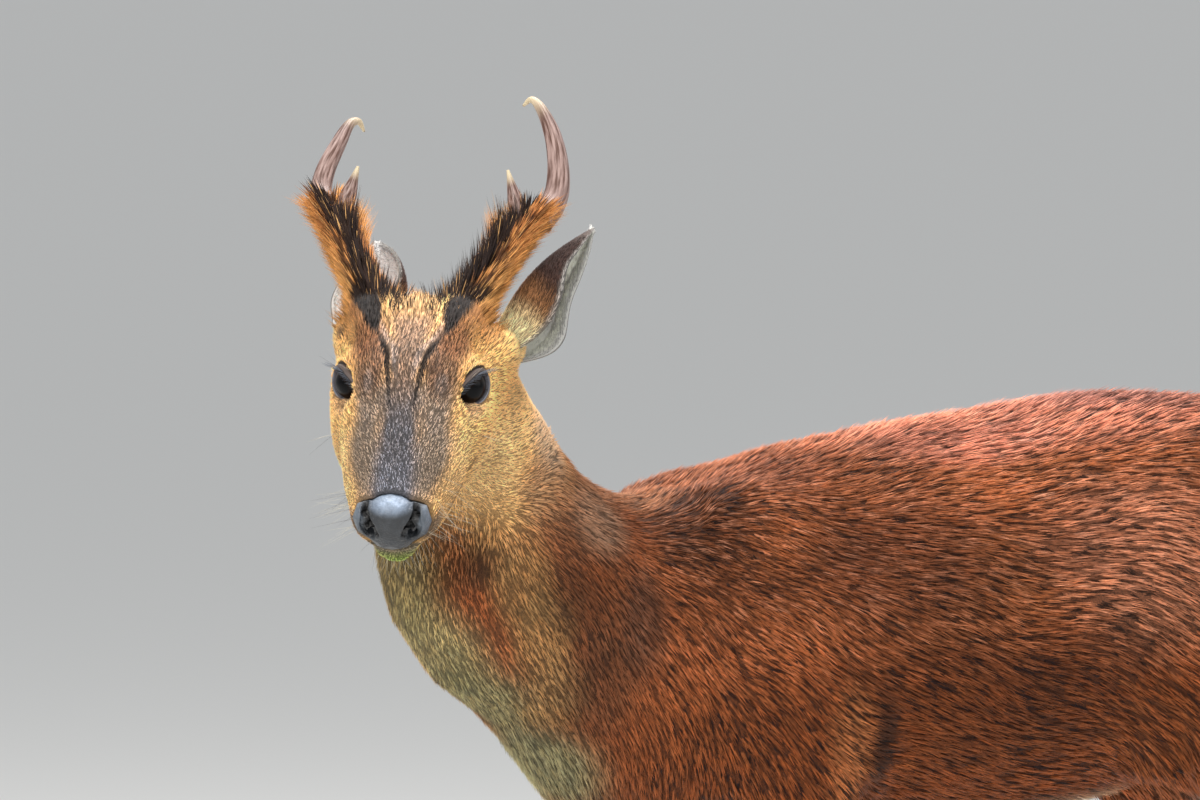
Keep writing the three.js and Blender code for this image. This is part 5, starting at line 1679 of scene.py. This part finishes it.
# Hooves and dewclaws
# Two pointed hooves of dark horn to each foot, with faint growth rings and worn edges, and a pair
# of small dewclaws behind each fetlock.
def horn_material():
    material, tree, shader = new_material("horn")
    place = object_places(tree)
    height = add_node(tree, "ShaderNodeSeparateXYZ", Vector=place).outputs["Z"]
    settings = {"bands_direction": "Z"}
    rings = add_node(
        tree, "ShaderNodeTexWave", settings, Scale=90, Distortion=2.5, Detail=2, Vector=place
    )
    dark = toned(
        tree, noise(tree, 60, 2), (0.3, (0.022, 0.018, 0.016)), (0.75, (0.085, 0.065, 0.05))
    )
    worn = ranged(tree, height, 0.006, 0.0)
    feed(
        tree,
        shader,
        Base_Color=mixed(tree, worn, dark, (0.17, 0.14, 0.11, 1)),
        Normal=bumped(tree, rings.outputs["Fac"], 0.4, 0.4),
        Roughness=0.42,
    )
    return material


horn = horn_material()
for node in sorted(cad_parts):
    if not node.startswith(("hoof_", "dewclaw_")):
        continue
    claw = copy_of([node], f"horn_{node}")
    bevel = claw.modifiers.new("edges", "BEVEL")
    bevel.width, bevel.segments, bevel.limit_method = 0.8 * MM, 2, "ANGLE"
    bevel.angle_limit = math.radians(38)
    bpy.ops.object.modifier_apply(modifier=bevel.name)
    bpy.ops.object.shade_smooth_by_angle(angle=math.radians(50))
    finished(claw, horn, "horn", node)

# Lashes and whiskers
# Stiff dark lashes along each upper lid, and fine whiskers on lips, chin, brows and cheeks, most of
# them pale.
def hair_strands(name, hairs, steps=5):
    """Slim three-sided hairs that curve and taper to a point, each given as its root, way, droop,
    length, thickness and colour."""
    points, faces, tone, heights, spots = [], [], [], [], []
    for n, (root, way, droop, size, girth, colour) in enumerate(hairs):
        base = len(points)
        a = unit(np.cross(way, (0.3, 0.5, 0.8)))
        b = np.cross(way, a)
        for k in range(steps):
            t = k / steps
            middle = root + way * size * t + droop * size * t * t
            for j in range(3):
                turn = 2 * math.pi * j / 3
                spoke = a * math.cos(turn) + b * math.sin(turn)
                points.append(middle + spoke * girth / 2 * (1 - 0.8 * t))
                heights.append(t)
        points.append(root + way * size + droop * size)
        heights.append(1)
        for k in range(steps - 1):
            for j in range(3):
                i = base + k * 3 + j
                m = base + k * 3 + (j + 1) % 3
                faces += [(i, m, m + 3), (i, m + 3, i + 3)]
        last = base + (steps - 1) * 3
        for j in range(3):
            faces.append((last + j, last + (j + 1) % 3, last + 3))
        faces.append((base, base + 2, base + 1))
        tone += [colour] * (len(points) - base)
        place = ((n * 0.618) % 1, (n + 0.5) / len(hairs))
        spots += [place] * (len(points) - base)
    piece = new_piece(name, from_head(np.array(points)), faces)
    mesh = piece.data
    paint(mesh, "pelage", np.array(tone))
    paint(mesh, "along", np.array(heights))
    corners = read_all(mesh.loops, "vertex_index", 1, np.int32)
    where = np.array(spots)[corners] * 0.98 + 0.01
    where[:, 1] += np.array(heights)[corners] * 0.003
    where[:, 0] += (corners % 3) * 0.001
    lay_map(mesh, "OFBake", where)
    choose(piece)
    bpy.ops.object.shade_smooth()
    finished(piece, lash_hair, "coat")


lash_hair = hair_material("lash_hair", 0.9, 1.0, 0.4)
draw = np.random.default_rng(13)
hairs = []
for side, s in SIDES.items():
    out, up = lid_line(side, 200)
    for k in np.linspace(4, 84, 34).astype(int):
        share = 1 - k / 100
        root = from_eye(side, out[k : k + 1], up[k : k + 1] + 0.5, [15.3])[0]
        gaze, outwards, upwards = eye_axes[side]
        way = gaze * 0.75 + outwards * (0.25 + 0.95 * share) + upwards * 0.25
        way = unit(way + draw.normal(0, 0.07, 3))
        droop = -upwards * 0.22 + outwards * 0.1
        size = (4.5 + 5.0 * share) * draw.uniform(0.8, 1.15)
        hairs.append((root, way, droop, size, 0.36, (0.15, 0.17, 0.21)))
hair_strands("lashes", hairs)

WHISKER_BEDS = [  # middle, spread, way, count, length
    ((94, 22, -12), (8, 2, 5), (0.35, 0.9, -0.25), 18, 24),
    ((78, 22, -16), (8, 2, 5), (0.1, 0.95, -0.35), 12, 22),
    ((98, 10, -42), (8, 7, 3), (0.35, 0.35, -0.9), 16, 17),
    ((8, 40, 22), (5, 4, 4), (0.1, 0.6, 0.8), 4, 20),
    ((22, 36, -16), (3, 2, 3), (0.2, 0.9, -0.3), 3, 22),
]
hairs = []
for middle, spread, way, number, size in WHISKER_BEDS:
    for s in (1, -1):
        for _ in range(number):
            start = (np.array(middle) + draw.normal(0, 1, 3) * spread) * (1, s, 1)
            hit = skin_tree.find_nearest(Vector(from_head(start)))[0]
            turned = unit(np.array(way, float) * (1, s, 1) + draw.normal(0, 0.2, 3))
            droop = np.array((-0.12, 0, -0.16))
            long = size * draw.uniform(0.6, 1.3)
            tone = (0.55, 0.52, 0.42) if draw.uniform(0, 1) < 0.7 else (0.06, 0.05, 0.05)
            hairs.append((to_head(np.array(hit)), turned, droop, long, 0.2, tone))
hair_strands("whiskers", hairs)

# Finish
# Every object is deselected at the end.
bpy.ops.object.select_all(action="DESELECT")
